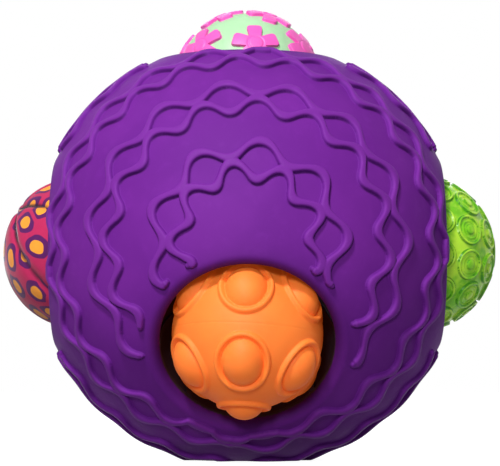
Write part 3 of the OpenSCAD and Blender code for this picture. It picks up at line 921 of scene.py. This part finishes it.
def orange_vinyl(sizes, centre):
    """Thin vinyl with some light scattered under its surface, a painted glow of its own, and
    painted shade in the grooves round the knobs.
    """
    # emission_strength: a painted glow that stands in for light through the thin vinyl
    finish = Finish("orange_vinyl", specular_ior_level=0.3, subsurface_weight=0.25,
                    subsurface_radius=(1, 0.35, 0.12), subsurface_scale=4 * MM,
                    emission_strength=0.14)
    over = finish.away_from(centre)
    # Painted shade in the grooves round the knobs
    groove = 1 - over.fade(sizes.radius - 0.22 * MM, sizes.radius - 0.02 * MM)
    drift = finish.noise(16 * MM, 3).fade(0.35, 0.65)
    rubbed = finish.noise(4 * MM, 4, 0.6).fade(0.5, 0.75)
    fine = finish.noise(0.7 * MM, 3, 0.6)
    tone = finish.mix(drift * 0.2, sizes.vinyl, sizes.deep_tone_and_shade)
    groove_shaded = finish.mix(groove * 0.5, tone, sizes.deep_tone_and_shade)
    return finish.set(
        base_color=finish.paler(rubbed * 0.08, groove_shaded),
        # Painted glow
        emission_color=finish.mix(drift * 0.3, sizes.painted_glow, sizes.deep_tone_and_shade),
        roughness=0.55 + 0.1 * fine - 0.08 * rubbed,
        normal=finish.bump(fine, 0.025 * MM, 0.5),
    )


class BALL_OT_orange(bpy.types.Operator):
    """Make the two halves of the orange ball with its knobs and rings"""
    bl_idname = "sensory_ball.orange"
    bl_label = "Orange Ball"

    def execute(self, context):
        sizes = context.scene.orange_ball
        own = turn("X", sizes.lean) @ turn("Y", sizes.roll) @ turn("Z", sizes.swing)
        add_halves("orange", orange_vinyl(sizes, ball_place("orange")[0]),
                   sizes.detail, OrangeShape(sizes).radius, own, ends=("upper", "lower"))
        return {"FINISHED"}


# The balls whose raised forms stand in rows round the hole's axis

MEDALLION_ROWS = ((0, 1, 0, 0), (26.5, 6, 30, 0), (51.5, 11, 14, 0), (76, 13, 5, 0))
NUB_ROWS = ((0, 1, 0, 0), (20, 6, 0, 0), (40, 11, 0, 0), (60, 15, 0, 0), (80, 17, 0, 0))
FLOWER_ROWS = ((23, 3, 50, 8), (64, 7, 7, 18), (102, 7, 32.7, 0), (140, 5, 10, 36), (180, 1, 0, 0))
FLOWER_TWIST = 28


def row_places(rows):
    """Turns that carry the upright axis to each place in rows round it.

    A row is its angle from the axis, its number of places, the azimuth of its first place, and
    the twist of the first place about its own axis. Each next place is twisted by FLOWER_TWIST
    more, which shows on the flowers only.
    """
    found = []
    for polar, number, first, twist in rows:
        for place in range(number):
            around = math.radians(first + 360 * place / number)
            own = math.radians(twist + FLOWER_TWIST * place)
            found.append(turn("Z", around) @ turn("X", math.radians(polar)) @ turn("Z", own))
    return found


def nearest_place(ways, places):
    """Angle from each way to the axis of the nearest place."""
    axes = np.array([place[:, 2] for place in places])
    return np.arccos(np.clip((ways @ axes.T).max(1), -1, 1))


def outer_twin(ways):
    """The ways themselves in the outer half, and their mirror images of those in the inner one."""
    return np.column_stack([ways[:, :2], np.abs(ways[:, 2])])


def medallion_height(away, sizes):
    """Height of a medallion at a distance from its middle: a rim, a low ring and a button."""
    def within(radius):
        return smooth_step((radius - away) / (0.3 * MM))

    def ring(radius, width):
        return within(radius) * smooth_step((away - radius + width) / (0.3 * MM))

    button = within(sizes.button_radius) * (1 - 0.15 * (away / sizes.button_radius) ** 2)
    return sizes.disc_height * np.maximum.reduce([
        ring(sizes.disc_radius, sizes.rim_width), 0.6 * ring(sizes.step_radius, 1 * MM),
        button, 0.25 * within(sizes.disc_radius)])


def clear_green(sizes, centre):
    """Clear vinyl with a painted glow, and painted shade where a medallion's wall turns away from
    the ball.
    """
    # emission_strength: a painted glow
    finish = Finish("clear_green", transmission_weight=0.06, ior=1.4, specular_ior_level=0.2,
                    coat_weight=0.03, coat_roughness=0.05, emission_strength=0.17,
                    subsurface_weight=0.3, subsurface_radius=(0.7, 1, 0.25),
                    subsurface_scale=4 * MM)
    outward = finish.vector("NORMALIZE", finish.vector("SUBTRACT", finish.place, tuple(centre)))
    own_normal = finish.node("ShaderNodeTexCoord", output="Normal")
    facing = finish.vector("DOT_PRODUCT", outward, own_normal, output="Value")
    # Painted shade on the medallions' walls
    wall = 1 - facing.fade(0.6, 0.97)
    cloud = finish.noise(9 * MM).fade(0.4, 0.62)
    streak = finish.noise(3.5 * MM, 3, 0.6).fade(0.45, 0.7)
    clouded = finish.mix(cloud * 0.7, sizes.clear, sizes.thin)
    body = finish.mix(streak * 0.35, clouded, sizes.thin)
    wall_shaded = finish.mix(wall * 0.9, body, sizes.outline)
    return finish.set(
        base_color=wall_shaded,
        emission_color=wall_shaded,
        roughness=0.2 + 0.1 * finish.noise(1.4 * MM),
        normal=finish.bump(finish.noise(4 * MM), 0.3 * MM, 0.6),
    )


class BALL_OT_green(bpy.types.Operator):
    """Make the two halves of the clear green ball with its medallions"""
    bl_idname = "sensory_ball.green"
    bl_label = "Green Ball"

    def execute(self, context):
        sizes = context.scene.green_ball
        places = row_places(MEDALLION_ROWS)

        def radius(ways):
            away = nearest_place(outer_twin(ways), places) * sizes.radius
            return sizes.radius + medallion_height(away, sizes)

        add_halves("green", clear_green(sizes, ball_place("green")[0]),
                   sizes.detail, radius, along_hole("green"), kind="shell",
                   hollow=sizes.hollow_radius)
        return {"FINISHED"}


class BALL_OT_blue(bpy.types.Operator):
    """Make the two halves of the blue ball with its nubs"""
    bl_idname = "sensory_ball.blue"
    bl_label = "Blue Ball"

    def execute(self, context):
        sizes = context.scene.blue_ball
        places = row_places(NUB_ROWS)

        def radius(ways):
            away = nearest_place(outer_twin(ways), places) * sizes.radius
            nub = np.clip(1 - (away / (sizes.nub_radius * 1.08)) ** 3, 0, 1) ** 0.6
            foot = 0.12 * MM * hump(away - sizes.nub_radius * 1.3, 0.4 * MM)
            mould = mould_line(ways, sizes.radius, 0.06 * MM)
            return sizes.radius + sizes.nub_height * nub - foot - mould

        material = soft_vinyl("blue_vinyl", sizes.vinyl, 0.7, specular_ior_level=0.45)
        add_halves("blue", material, sizes.detail, radius, along_hole("blue"))
        return {"FINISHED"}


# The mint ball


def flower_edge(sizes, around):
    """Distance from a flower's middle to its edge, for each way round it."""
    corner_x = sizes.flower_radius - sizes.petal_round
    corner_y = sizes.petal_width / 2 - sizes.petal_round
    flare = sizes.petal_flare
    flank_x = corner_x - sizes.petal_round * math.sin(flare)
    flank_y = corner_y + sizes.petal_round * math.cos(flare)
    root_y = flank_y - flank_x * math.tan(flare)
    petal = around * sizes.petals / 2 / math.pi
    off = np.abs((petal + 0.5) % 1 - 0.5) * 2 * math.pi / sizes.petals
    c, s = np.cos(off), np.sin(off)
    flank = root_y / np.maximum(s - c * math.tan(flare), 1e-6)
    tip = sizes.flower_radius / c
    aside = corner_x * s - corner_y * c
    round_off = np.sqrt(np.maximum(sizes.petal_round ** 2 - aside ** 2, 0))
    corner = corner_x * c + corner_y * s + round_off
    past_flank = off > math.atan2(flank_y, flank_x)
    past_tip = off < math.atan2(corner_y, sizes.flower_radius)
    return np.where(past_flank, flank, np.where(past_tip, tip, corner))


def flower_mesh(sizes, rays=200):
    """Points over the upright axis and faces of one flower, with a button and a rounded edge."""
    around = np.linspace(0, 2 * math.pi, rays, endpoint=False)
    edge = flower_edge(sizes, around)
    reach = sizes.radius + sizes.petal_height
    rounding, heart = sizes.edge_round, sizes.heart_radius
    flat = edge - rounding
    # How far the petals lie under the button
    sunk = 0.18 * MM
    # Distance from the middle of each ring of points, and how far it lies under the button
    profile = []
    for aside in np.linspace(0.2, 1.5, 14) * heart:
        groove = 0.45 * MM * hump(aside - heart, 0.32 * MM)
        profile.append((np.minimum(aside, flat),
                        groove + sunk * smooth_step((aside - heart) / (0.4 * MM))))
    start = np.minimum(1.5 * heart, flat)
    for share in (0.25, 0.5, 0.75):
        profile.append((start + (flat - start) * share, sunk))
    for bend in np.linspace(0, math.pi / 2, 6):
        profile.append((edge - rounding * (1 - math.sin(bend)),
                        sunk + rounding * (1 - math.cos(bend))))
    profile.append((edge + 0.05 * MM, sizes.petal_height * 0.9))
    profile.append((edge + 0.3 * MM, sizes.petal_height + 0.1 * MM))
    rows = [ball_points(reach - drop, aside / reach, around) for aside, drop in profile]
    return np.concatenate([[[0, 0, reach]], *rows]), net_faces(len(rows), rays)


class BALL_OT_mint(bpy.types.Operator):
    """Make the mint ball and the pink flowers on it"""
    bl_idname = "sensory_ball.mint"
    bl_label = "Mint Ball"

    def execute(self, context):
        sizes = context.scene.mint_ball
        places = row_places(FLOWER_ROWS)

        def radius(ways):
            near = nearest_place(ways, places) * sizes.radius
            bed = 0.12 * MM * smooth_step((sizes.flower_radius + 1 * MM - near) / (1 * MM))
            return sizes.radius - bed - mould_line(ways, sizes.radius, 0.08 * MM, 0.5 * MM)

        body = soft_vinyl("mint_vinyl", sizes.mint, 0.82, roughness=0.5, subsurface_weight=0.1,
                          subsurface_radius=(0.6, 1, 0.6), subsurface_scale=2 * MM)
        petal = soft_vinyl("pink_vinyl", sizes.pink, 0.85, roughness=0.42, subsurface_weight=0.1,
                           subsurface_radius=(1, 0.4, 0.6), subsurface_scale=2 * MM)
        add_halves("mint", body, sizes.detail, radius, along_hole("mint"))
        one, one_faces = flower_mesh(sizes)
        points = np.concatenate([one @ place.T for place in places]) + ball_place("mint")[0]
        faces = [[corner + number * len(one) for corner in face]
                 for number in range(len(places)) for face in one_faces]
        flowers = add_piece("mint_flower_skin", points, faces, "mint_ball", [petal])
        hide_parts("mint_flowers")
        return {"FINISHED"}


# The fabric ball

# Faces across a panel and from pole to pole of the cloth before it is blown up
PANEL_COLUMNS, CLOTH_ROWS = 12, 48
# Room under the ball's radius that the padding fills, and how far it may move the cloth
PADDING_ROOM, PADDING_MOST = 0.9 * MM, 1.6 * MM
# Height and length of the small waves that the stitches pull into the cloth beside a seam
PUCKER_HEIGHT, PUCKER_LENGTH = 0.12 * MM, 2.6 * MM
CLOTH_SETTINGS = {
    "quality": 6, "mass": 0.15, "tension_stiffness": 12, "bending_stiffness": 0.6,
    "use_pressure": True, "uniform_pressure_force": 4, "vertex_group_mass": "seams"}
CLOTH_FRAMES = 20
# Points along a stitch, and round it
STITCH_POINTS, STITCH_SIDES = 7, 6


def cloth_ball(sizes):
    """The fabric ball before its padding, drawn in at its seams, over the panels' axis.

    Returns its points and faces, and which points lie on a seam.
    """
    columns = PANEL_COLUMNS * sizes.panels
    azimuth = np.linspace(0, 2 * math.pi, columns, endpoint=False)
    phase = (azimuth * sizes.panels / 2 / math.pi) % 1
    to_seam = np.minimum(phase, 1 - phase) * 2 * math.pi / sizes.panels
    net = sizes.radius - PADDING_ROOM
    rings = []
    for down in np.linspace(0, math.pi, CLOTH_ROWS + 1)[1:-1]:
        off = to_seam * math.sin(down) * sizes.radius
        wave = np.cos(down * sizes.radius / PUCKER_LENGTH * 2 * math.pi)
        pucker = PUCKER_HEIGHT * wave * hump(off, 3 * MM)
        rings.append(ball_points(net - sizes.seam_depth * hump(off, 1.5 * MM) + pucker,
                                 down, azimuth))
    pole = net - sizes.seam_depth
    points = np.concatenate([[[0, 0, pole]], *rings, [[0, 0, -pole]]])
    seam = np.zeros(len(points), bool)
    seam[1:-1].reshape(-1, columns)[:, ::PANEL_COLUMNS] = True
    seam[[0, -1]] = True
    return points, net_faces(len(rings), columns, len(points) - 1), seam


def puff(piece, seam, radius):
    """Blows the cloth up between its seams, and keeps it inside the ball's radius."""
    group = piece.vertex_groups.new(name="seams")
    group.add(np.flatnonzero(seam).tolist(), 1.0, "REPLACE")
    cloth = piece.modifiers.new("padding", "CLOTH")
    for name, value in CLOTH_SETTINGS.items():
        setattr(cloth.settings, name, value)
    cloth.settings.effector_weights.gravity = 0
    scene = bpy.context.scene
    for number in range(1, CLOTH_FRAMES + 1):
        scene.frame_set(number)
    graph = bpy.context.evaluated_depsgraph_get()
    moved = points_of(piece.evaluated_get(graph).data)
    piece.modifiers.remove(cloth)
    scene.frame_set(1)
    still = points_of(piece.data)
    far = np.linalg.norm(moved - still, axis=1)
    share = np.minimum(1, PADDING_MOST / np.maximum(far, 1e-9))
    moved = still + (moved - still) * share[:, None]
    size = np.linalg.norm(moved, axis=1)
    moved *= np.minimum(1, (radius - 0.15 * MM) / size)[:, None]
    move_points(piece.data, moved)


def make_finer(piece):
    """Gives an object a mesh with each face split into four and smoothed."""
    smooth = piece.modifiers.new("finer", "SUBSURF")
    smooth.levels = smooth.render_levels = 1
    graph = bpy.context.evaluated_depsgraph_get()
    finer = bpy.data.meshes.new_from_object(piece.evaluated_get(graph))
    piece.modifiers.remove(smooth)
    piece.data = finer
    finer.name = piece.name
    return finer


def add_cut_map(mesh, sizes):
    """A map of the flat panels in metres, so that each panel shows its own piece of the print."""
    layer = mesh.uv_layers.new(name="cut")
    points = points_of(mesh)[[loop.vertex_index for loop in mesh.loops]]
    azimuth = np.arctan2(points[:, 1], points[:, 0])
    latitude = np.arcsin(np.clip(points[:, 2] / np.linalg.norm(points, axis=1), -1, 1))
    middles = np.array([face.center for face in mesh.polygons])
    width = 2 * math.pi / sizes.panels
    panels = np.floor(np.arctan2(middles[:, 1], middles[:, 0]) % (2 * math.pi) / width)
    panel = np.repeat(panels, [len(face.vertices) for face in mesh.polygons])
    off = np.angle(np.exp(1j * (azimuth - (panel + 0.5) * width)))
    off[np.hypot(points[:, 0], points[:, 1]) < 0.2 * MM] = 0
    across = off * np.cos(latitude) * sizes.radius
    up = latitude * sizes.radius
    # Each panel is cut from another place of the cloth
    laid = np.stack([across + 0.053 * panel, up + 0.031 * ((panel * 3) % 7)], -1)
    layer.data.foreach_set("uv", laid.astype(np.float32).reshape(-1))


def printed_fabric(sizes, centre):
    """Printed cloth: a net over dark cells with a dot in each, a woven surface and soft nap."""
    finish = Finish("printed_fabric", sheen_weight=0.35, sheen_roughness=0.4,
                    specular_ior_level=0.2)
    cut = finish.node("ShaderNodeUVMap", {"uv_map": "cut"})
    wobble = finish.node("ShaderNodeTexNoise", {"noise_dimensions": "2D"},
                         {"Vector": cut, "Scale": 110.0, "Detail": 1.0}, "Color")
    bent = finish.vector("MULTIPLY_ADD", wobble, (2.4 * MM,) * 3, cut)
    laid = finish.node("ShaderNodeMapping", {"vector_type": "POINT"},
                       {"Vector": bent, "Scale": (94, 70, 1), "Rotation": (0, 0, 0.35)})
    inner, border = [
        finish.node("ShaderNodeTexVoronoi", {"voronoi_dimensions": "2D", "feature": feature},
                    {"Vector": laid, "Scale": 1.0, "Randomness": 0.45}, "Distance")
        for feature in ("F1", "DISTANCE_TO_EDGE")]
    dot = 1 - inner.fade(0.235, 0.26)
    cell = (1 - inner.fade(0.42, 0.45)) * border.fade(0.07, 0.1)
    warp, weft = [
        finish.node("ShaderNodeTexWave", {"bands_direction": way, "wave_profile": "SIN"},
                    {"Vector": cut, "Scale": 560.0, "Distortion": 0.6})
        for way in ("X", "Y")]
    weave = warp * weft
    fade = finish.noise(3 * MM, 4, 0.6).fade(0.35, 0.75)
    printed = finish.mix(dot * cell, finish.mix(cell, sizes.net, sizes.cell), sizes.dot)
    shaded = finish.paler(0.16 * weave + 0.12 * fade, printed)
    net = sizes.radius - PADDING_ROOM
    bed = 1 - finish.away_from(centre).fade(net - sizes.seam_depth * 0.85,
                                            net - sizes.seam_depth * 0.4)
    wrinkle = finish.bump(finish.noise(7 * MM), 0.5 * MM, 0.5)
    return finish.set(
        base_color=finish.mix(bed * 0.92, shaded, sizes.thread),
        roughness=0.72 + 0.15 * finish.noise(1.2 * MM, 3, 0.7),
        normal=finish.bump(weave, 0.05 * MM, 0.5, wrinkle),
    )


def sewing_thread(sizes):
    """Twisted dark thread."""
    finish = Finish("seam_thread", sheen_weight=0.3, specular_ior_level=0.3)
    twist = finish.node("ShaderNodeTexWave", {"bands_direction": "DIAGONAL"},
                        {"Vector": finish.place, "Scale": 900.0, "Distortion": 1.0})
    return finish.set(
        base_color=finish.mix(twist * 0.5, sizes.thread, toned(sizes.thread, 2.6)),
        roughness=0.6 + 0.2 * finish.noise(0.8 * MM, 3),
        normal=finish.bump(twist, 0.06 * MM, 0.8),
    )


def stitch_line(at, run, path, centre):
    """Points along a stitch between two runs of its seam, arched a little, and the ways out."""
    line = np.stack([np.interp(at, run, path[:, axis]) for axis in range(3)], -1)
    outward = unit(line - centre)
    return line + outward * (0.2 * MM * np.sin(np.linspace(0, math.pi, len(at))))[:, None], outward


def add_stitches(sizes, own, centre):
    """Short raised stitches along every seam, as one piece."""
    down = np.linspace(0.06, math.pi - 0.06, 96)
    bed = sizes.radius - PADDING_ROOM - sizes.seam_depth + 0.1 * MM
    thick = np.sin(np.linspace(0.5, math.pi - 0.5, STITCH_POINTS))[:, None] ** 0.5
    points, faces = [], []
    for panel in range(sizes.panels):
        path = ball_points(bed, down, 2 * math.pi * panel / sizes.panels) @ own.T + centre
        run = run_along(path)
        for stitch in range(int(run[-1] / sizes.stitch_length)):
            at = (stitch + np.linspace(0.12, 0.88, STITCH_POINTS)) * sizes.stitch_length
            line, outward = stitch_line(at, run, path, centre)
            aside = unit(np.cross(unit(np.gradient(line, axis=0)), outward))
            rows = np.arange(STITCH_SIDES * STITCH_POINTS).reshape(STITCH_SIDES, STITCH_POINTS)
            rows += len(points) * STITCH_POINTS
            next_rows = np.roll(rows, -1, axis=0)
            for number in range(STITCH_SIDES):
                swing = 2 * math.pi * number / STITCH_SIDES
                way = aside * math.cos(swing) + outward * math.sin(swing)
                points.append(line + way * sizes.thread_radius * thick)
            faces += np.stack([rows[:, :-1], rows[:, 1:], next_rows[:, 1:], next_rows[:, :-1]],
                              -1).reshape(-1, 4).tolist()
            faces += [rows[::-1, 0].tolist(), rows[:, -1].tolist()]
    add_piece("seam_thread", np.concatenate(points), faces, "print_ball",
              [sewing_thread(sizes)])


class BALL_OT_fabric(bpy.types.Operator):
    """Make the padded ball of printed panels, with its seams and stitches, and the rattle inside"""
    bl_idname = "sensory_ball.fabric"
    bl_label = "Fabric Ball"

    def execute(self, context):
        sizes = context.scene.fabric_ball
        centre = ball_place("print")[0]
        own = turn("Z", sizes.turned) @ turn("Y", sizes.lean) @ turn("Z", sizes.swing)
        points, faces, seam = cloth_ball(sizes)
        piece = new_object("fabric_cover", new_mesh("fabric_cover", points, faces))
        puff(piece, seam, sizes.radius)
        finer = make_finer(piece)
        add_cut_map(finer, sizes)
        move_points(finer, points_of(finer) @ own.T + centre)
        let_ride(piece, "print_ball", [printed_fabric(sizes, centre)])
        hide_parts(*[f"print_panel_{number}" for number in range(1, sizes.panels + 1)],
                    "print_upper_filling", "print_lower_filling")
        add_stitches(sizes, own, centre)
        dress(soft_vinyl("rattle_plastic", sizes.filling, 0.85, roughness=0.35),
              "print_rattle_case", "print_rattle_lid")
        dress(soft_vinyl("rattle_red", sizes.rattle, 0.6, roughness=0.3), "print_rattle_bead")
        return {"FINISHED"}


# Bells and beads


def bell_metal(sizes):
    """Bright metal with dull patches and fine scratches."""
    finish = Finish("bell_metal", metallic=1.0)
    tarnish = finish.noise(3 * MM, 4, 0.6).fade(0.4, 0.7)
    scratch = finish.noise(0.5 * MM)
    return finish.set(
        base_color=finish.mix(tarnish * 0.5, sizes.bell, toned(sizes.bell, 0.6)),
        roughness=0.22 + 0.2 * tarnish + 0.1 * scratch,
        normal=finish.bump(scratch, 0.02 * MM, 0.4),
    )


class BALL_OT_sound(bpy.types.Operator):
    """Give the bells, pellets and loose beads their finishes"""
    bl_idname = "sensory_ball.sound"
    bl_label = "Sound Makers"

    def execute(self, context):
        scene = context.scene
        sizes = scene.sound_makers
        dress(bell_metal(sizes), "orange_bell", "mint_bell")
        dress(soft_vinyl("pellet_metal", sizes.pellet, 0.6, roughness=0.35, metallic=1.0),
              "orange_bell_pellet", "mint_bell_pellet")
        dress(soft_vinyl("clear_bead", scene.green_ball.bead, 0.7, roughness=0.2,
                         coat_weight=0.5), "green_beads")
        dress(soft_vinyl("yellow_bead", scene.blue_ball.bead, 0.7, roughness=0.25,
                         coat_weight=0.4), "blue_beads")
        return {"FINISHED"}


# The stage

LAMPS = (
    # Each lamp's name, place, size in metres and power in watts
    ("key", (-0.4, -1.1, 1.33), 0.22, 25),
    ("front", (-0.2, -1.5, 0.5), 0.3, 11.5),
    ("rear", (0, 1.5, 0.5), 1.2, 8),
)
# Strength of the light that comes evenly from all round
ROOM_LIGHT = 0.1
FLOOR_REACH = 6.0
SENSOR_WIDTH = 36


def aimed(name, data, place, aim):
    """A lamp or camera that looks from a place to a point."""
    made = new_object(name, data)
    made.location = place
    made.rotation_mode = "QUATERNION"
    made.rotation_quaternion = (Vector(aim) - Vector(place)).to_track_quat("-Z", "Y")
    return made


class BALL_OT_stage(bpy.types.Operator):
    """Make the pale floor, the soft light and the camera"""
    bl_idname = "sensory_ball.stage"
    bl_label = "Stage"

    def execute(self, context):
        scene = context.scene
        self.add_floor(scene.stage)
        self.add_world(scene)
        for name, place, size, power in LAMPS:
            lamp = bpy.data.lights.new(name, "AREA")
            lamp.shape, lamp.size, lamp.energy = "DISK", size, power
            aimed(name, lamp, place, ball_centre)
        self.add_camera(scene, scene.stage)
        scene.view_settings.view_transform = "Standard"
        return {"FINISHED"}

    def add_floor(self, sizes):
        corners = np.array([(-1, -1, 0), (1, -1, 0), (1, 1, 0), (-1, 1, 0)]) * FLOOR_REACH
        floor = new_object("floor", new_mesh("floor", corners, [[0, 1, 2, 3]]))
        finish = Finish("floor", specular_ior_level=0.2)
        fine = finish.noise(30 * MM, 3)
        floor.data.materials.append(finish.set(
            base_color=finish.mix(fine * 0.05, sizes.floor, WHITE), roughness=0.8 + 0.1 * fine))
        pale = finish.for_eye(finish.white("ShaderNodeEmission", 0),
                              finish.white("ShaderNodeEmission", sizes.floor_glow))
        both = finish.node("ShaderNodeAddShader",
                           inputs={0: Wire(finish, finish.shader.outputs[0]), 1: pale})
        finish.feed(finish.tree.nodes["Material Output"].inputs["Surface"], both)

    def add_world(self, scene):
        scene.world = bpy.data.worlds.new("studio")
        nodes = Nodes(scene.world)
        nodes.tree.nodes.remove(nodes.tree.nodes["Background"])
        both = nodes.for_eye(nodes.white("ShaderNodeBackground", ROOM_LIGHT),
                             nodes.white("ShaderNodeBackground", 1))
        nodes.feed(nodes.tree.nodes["World Output"].inputs["Surface"], both)

    def add_camera(self, scene, sizes):
        lens = bpy.data.cameras.new("camera")
        lens.lens, lens.sensor_width = sizes.lens, SENSOR_WIDTH
        lens.clip_start, lens.clip_end = 0.05, 20
        middle, drop = Vector(ball_centre), sizes.camera_drop
        back = Vector((0, -math.cos(drop), -math.sin(drop)))
        up = Vector((0, -math.sin(drop), math.cos(drop)))
        aim = middle + up * sizes.aim_up + Vector((sizes.aim_right, 0, 0))
        scene.camera = aimed("camera", lens, middle + back * sizes.camera_distance, aim)


class BALL_PT_panel(bpy.types.Panel):
    """Lists the pieces of the sensory ball with their sizes and colours"""
    bl_idname = "BALL_PT_panel"
    bl_label = "Sensory Ball"
    bl_space_type = "VIEW_3D"
    bl_region_type = "UI"
    bl_category = "Sensory Ball"

    def draw(self, context):
        for group, operators in PANEL_ROWS:
            box = self.layout.box()
            for operator in operators:
                box.operator(operator.bl_idname, text=operator.bl_label)
            settings = getattr(context.scene, group)
            for name in SETTINGS[group].__annotations__:
                box.prop(settings, name)


PANEL_ROWS = (
    ("outer_ball", (BALL_OT_outer, BALL_OT_pockets)),
    ("orange_ball", (BALL_OT_orange,)),
    ("green_ball", (BALL_OT_green,)),
    ("fabric_ball", (BALL_OT_fabric,)),
    ("mint_ball", (BALL_OT_mint,)),
    ("blue_ball", (BALL_OT_blue,)),
    ("sound_makers", (BALL_OT_sound,)),
    ("stage", (BALL_OT_stage,)),
)
OPERATORS = [operator for _, operators in PANEL_ROWS for operator in operators]


def register():
    for group in (*SETTINGS.values(), *OPERATORS, BALL_PT_panel):
        bpy.utils.register_class(group)
    for name, group in SETTINGS.items():
        setattr(bpy.types.Scene, name, PointerProperty(type=group))


def unregister():
    for name in SETTINGS:
        delattr(bpy.types.Scene, name)
    for group in reversed((*SETTINGS.values(), *OPERATORS, BALL_PT_panel)):
        bpy.utils.unregister_class(group)


def main():
    register()
    bpy.ops.sensory_ball.outer()
    bpy.ops.sensory_ball.pockets()
    bpy.ops.sensory_ball.orange()
    bpy.ops.sensory_ball.green()
    bpy.ops.sensory_ball.fabric()
    bpy.ops.sensory_ball.mint()
    bpy.ops.sensory_ball.blue()
    bpy.ops.sensory_ball.sound()
    bpy.ops.sensory_ball.stage()


if __name__ == "__main__":
    main()
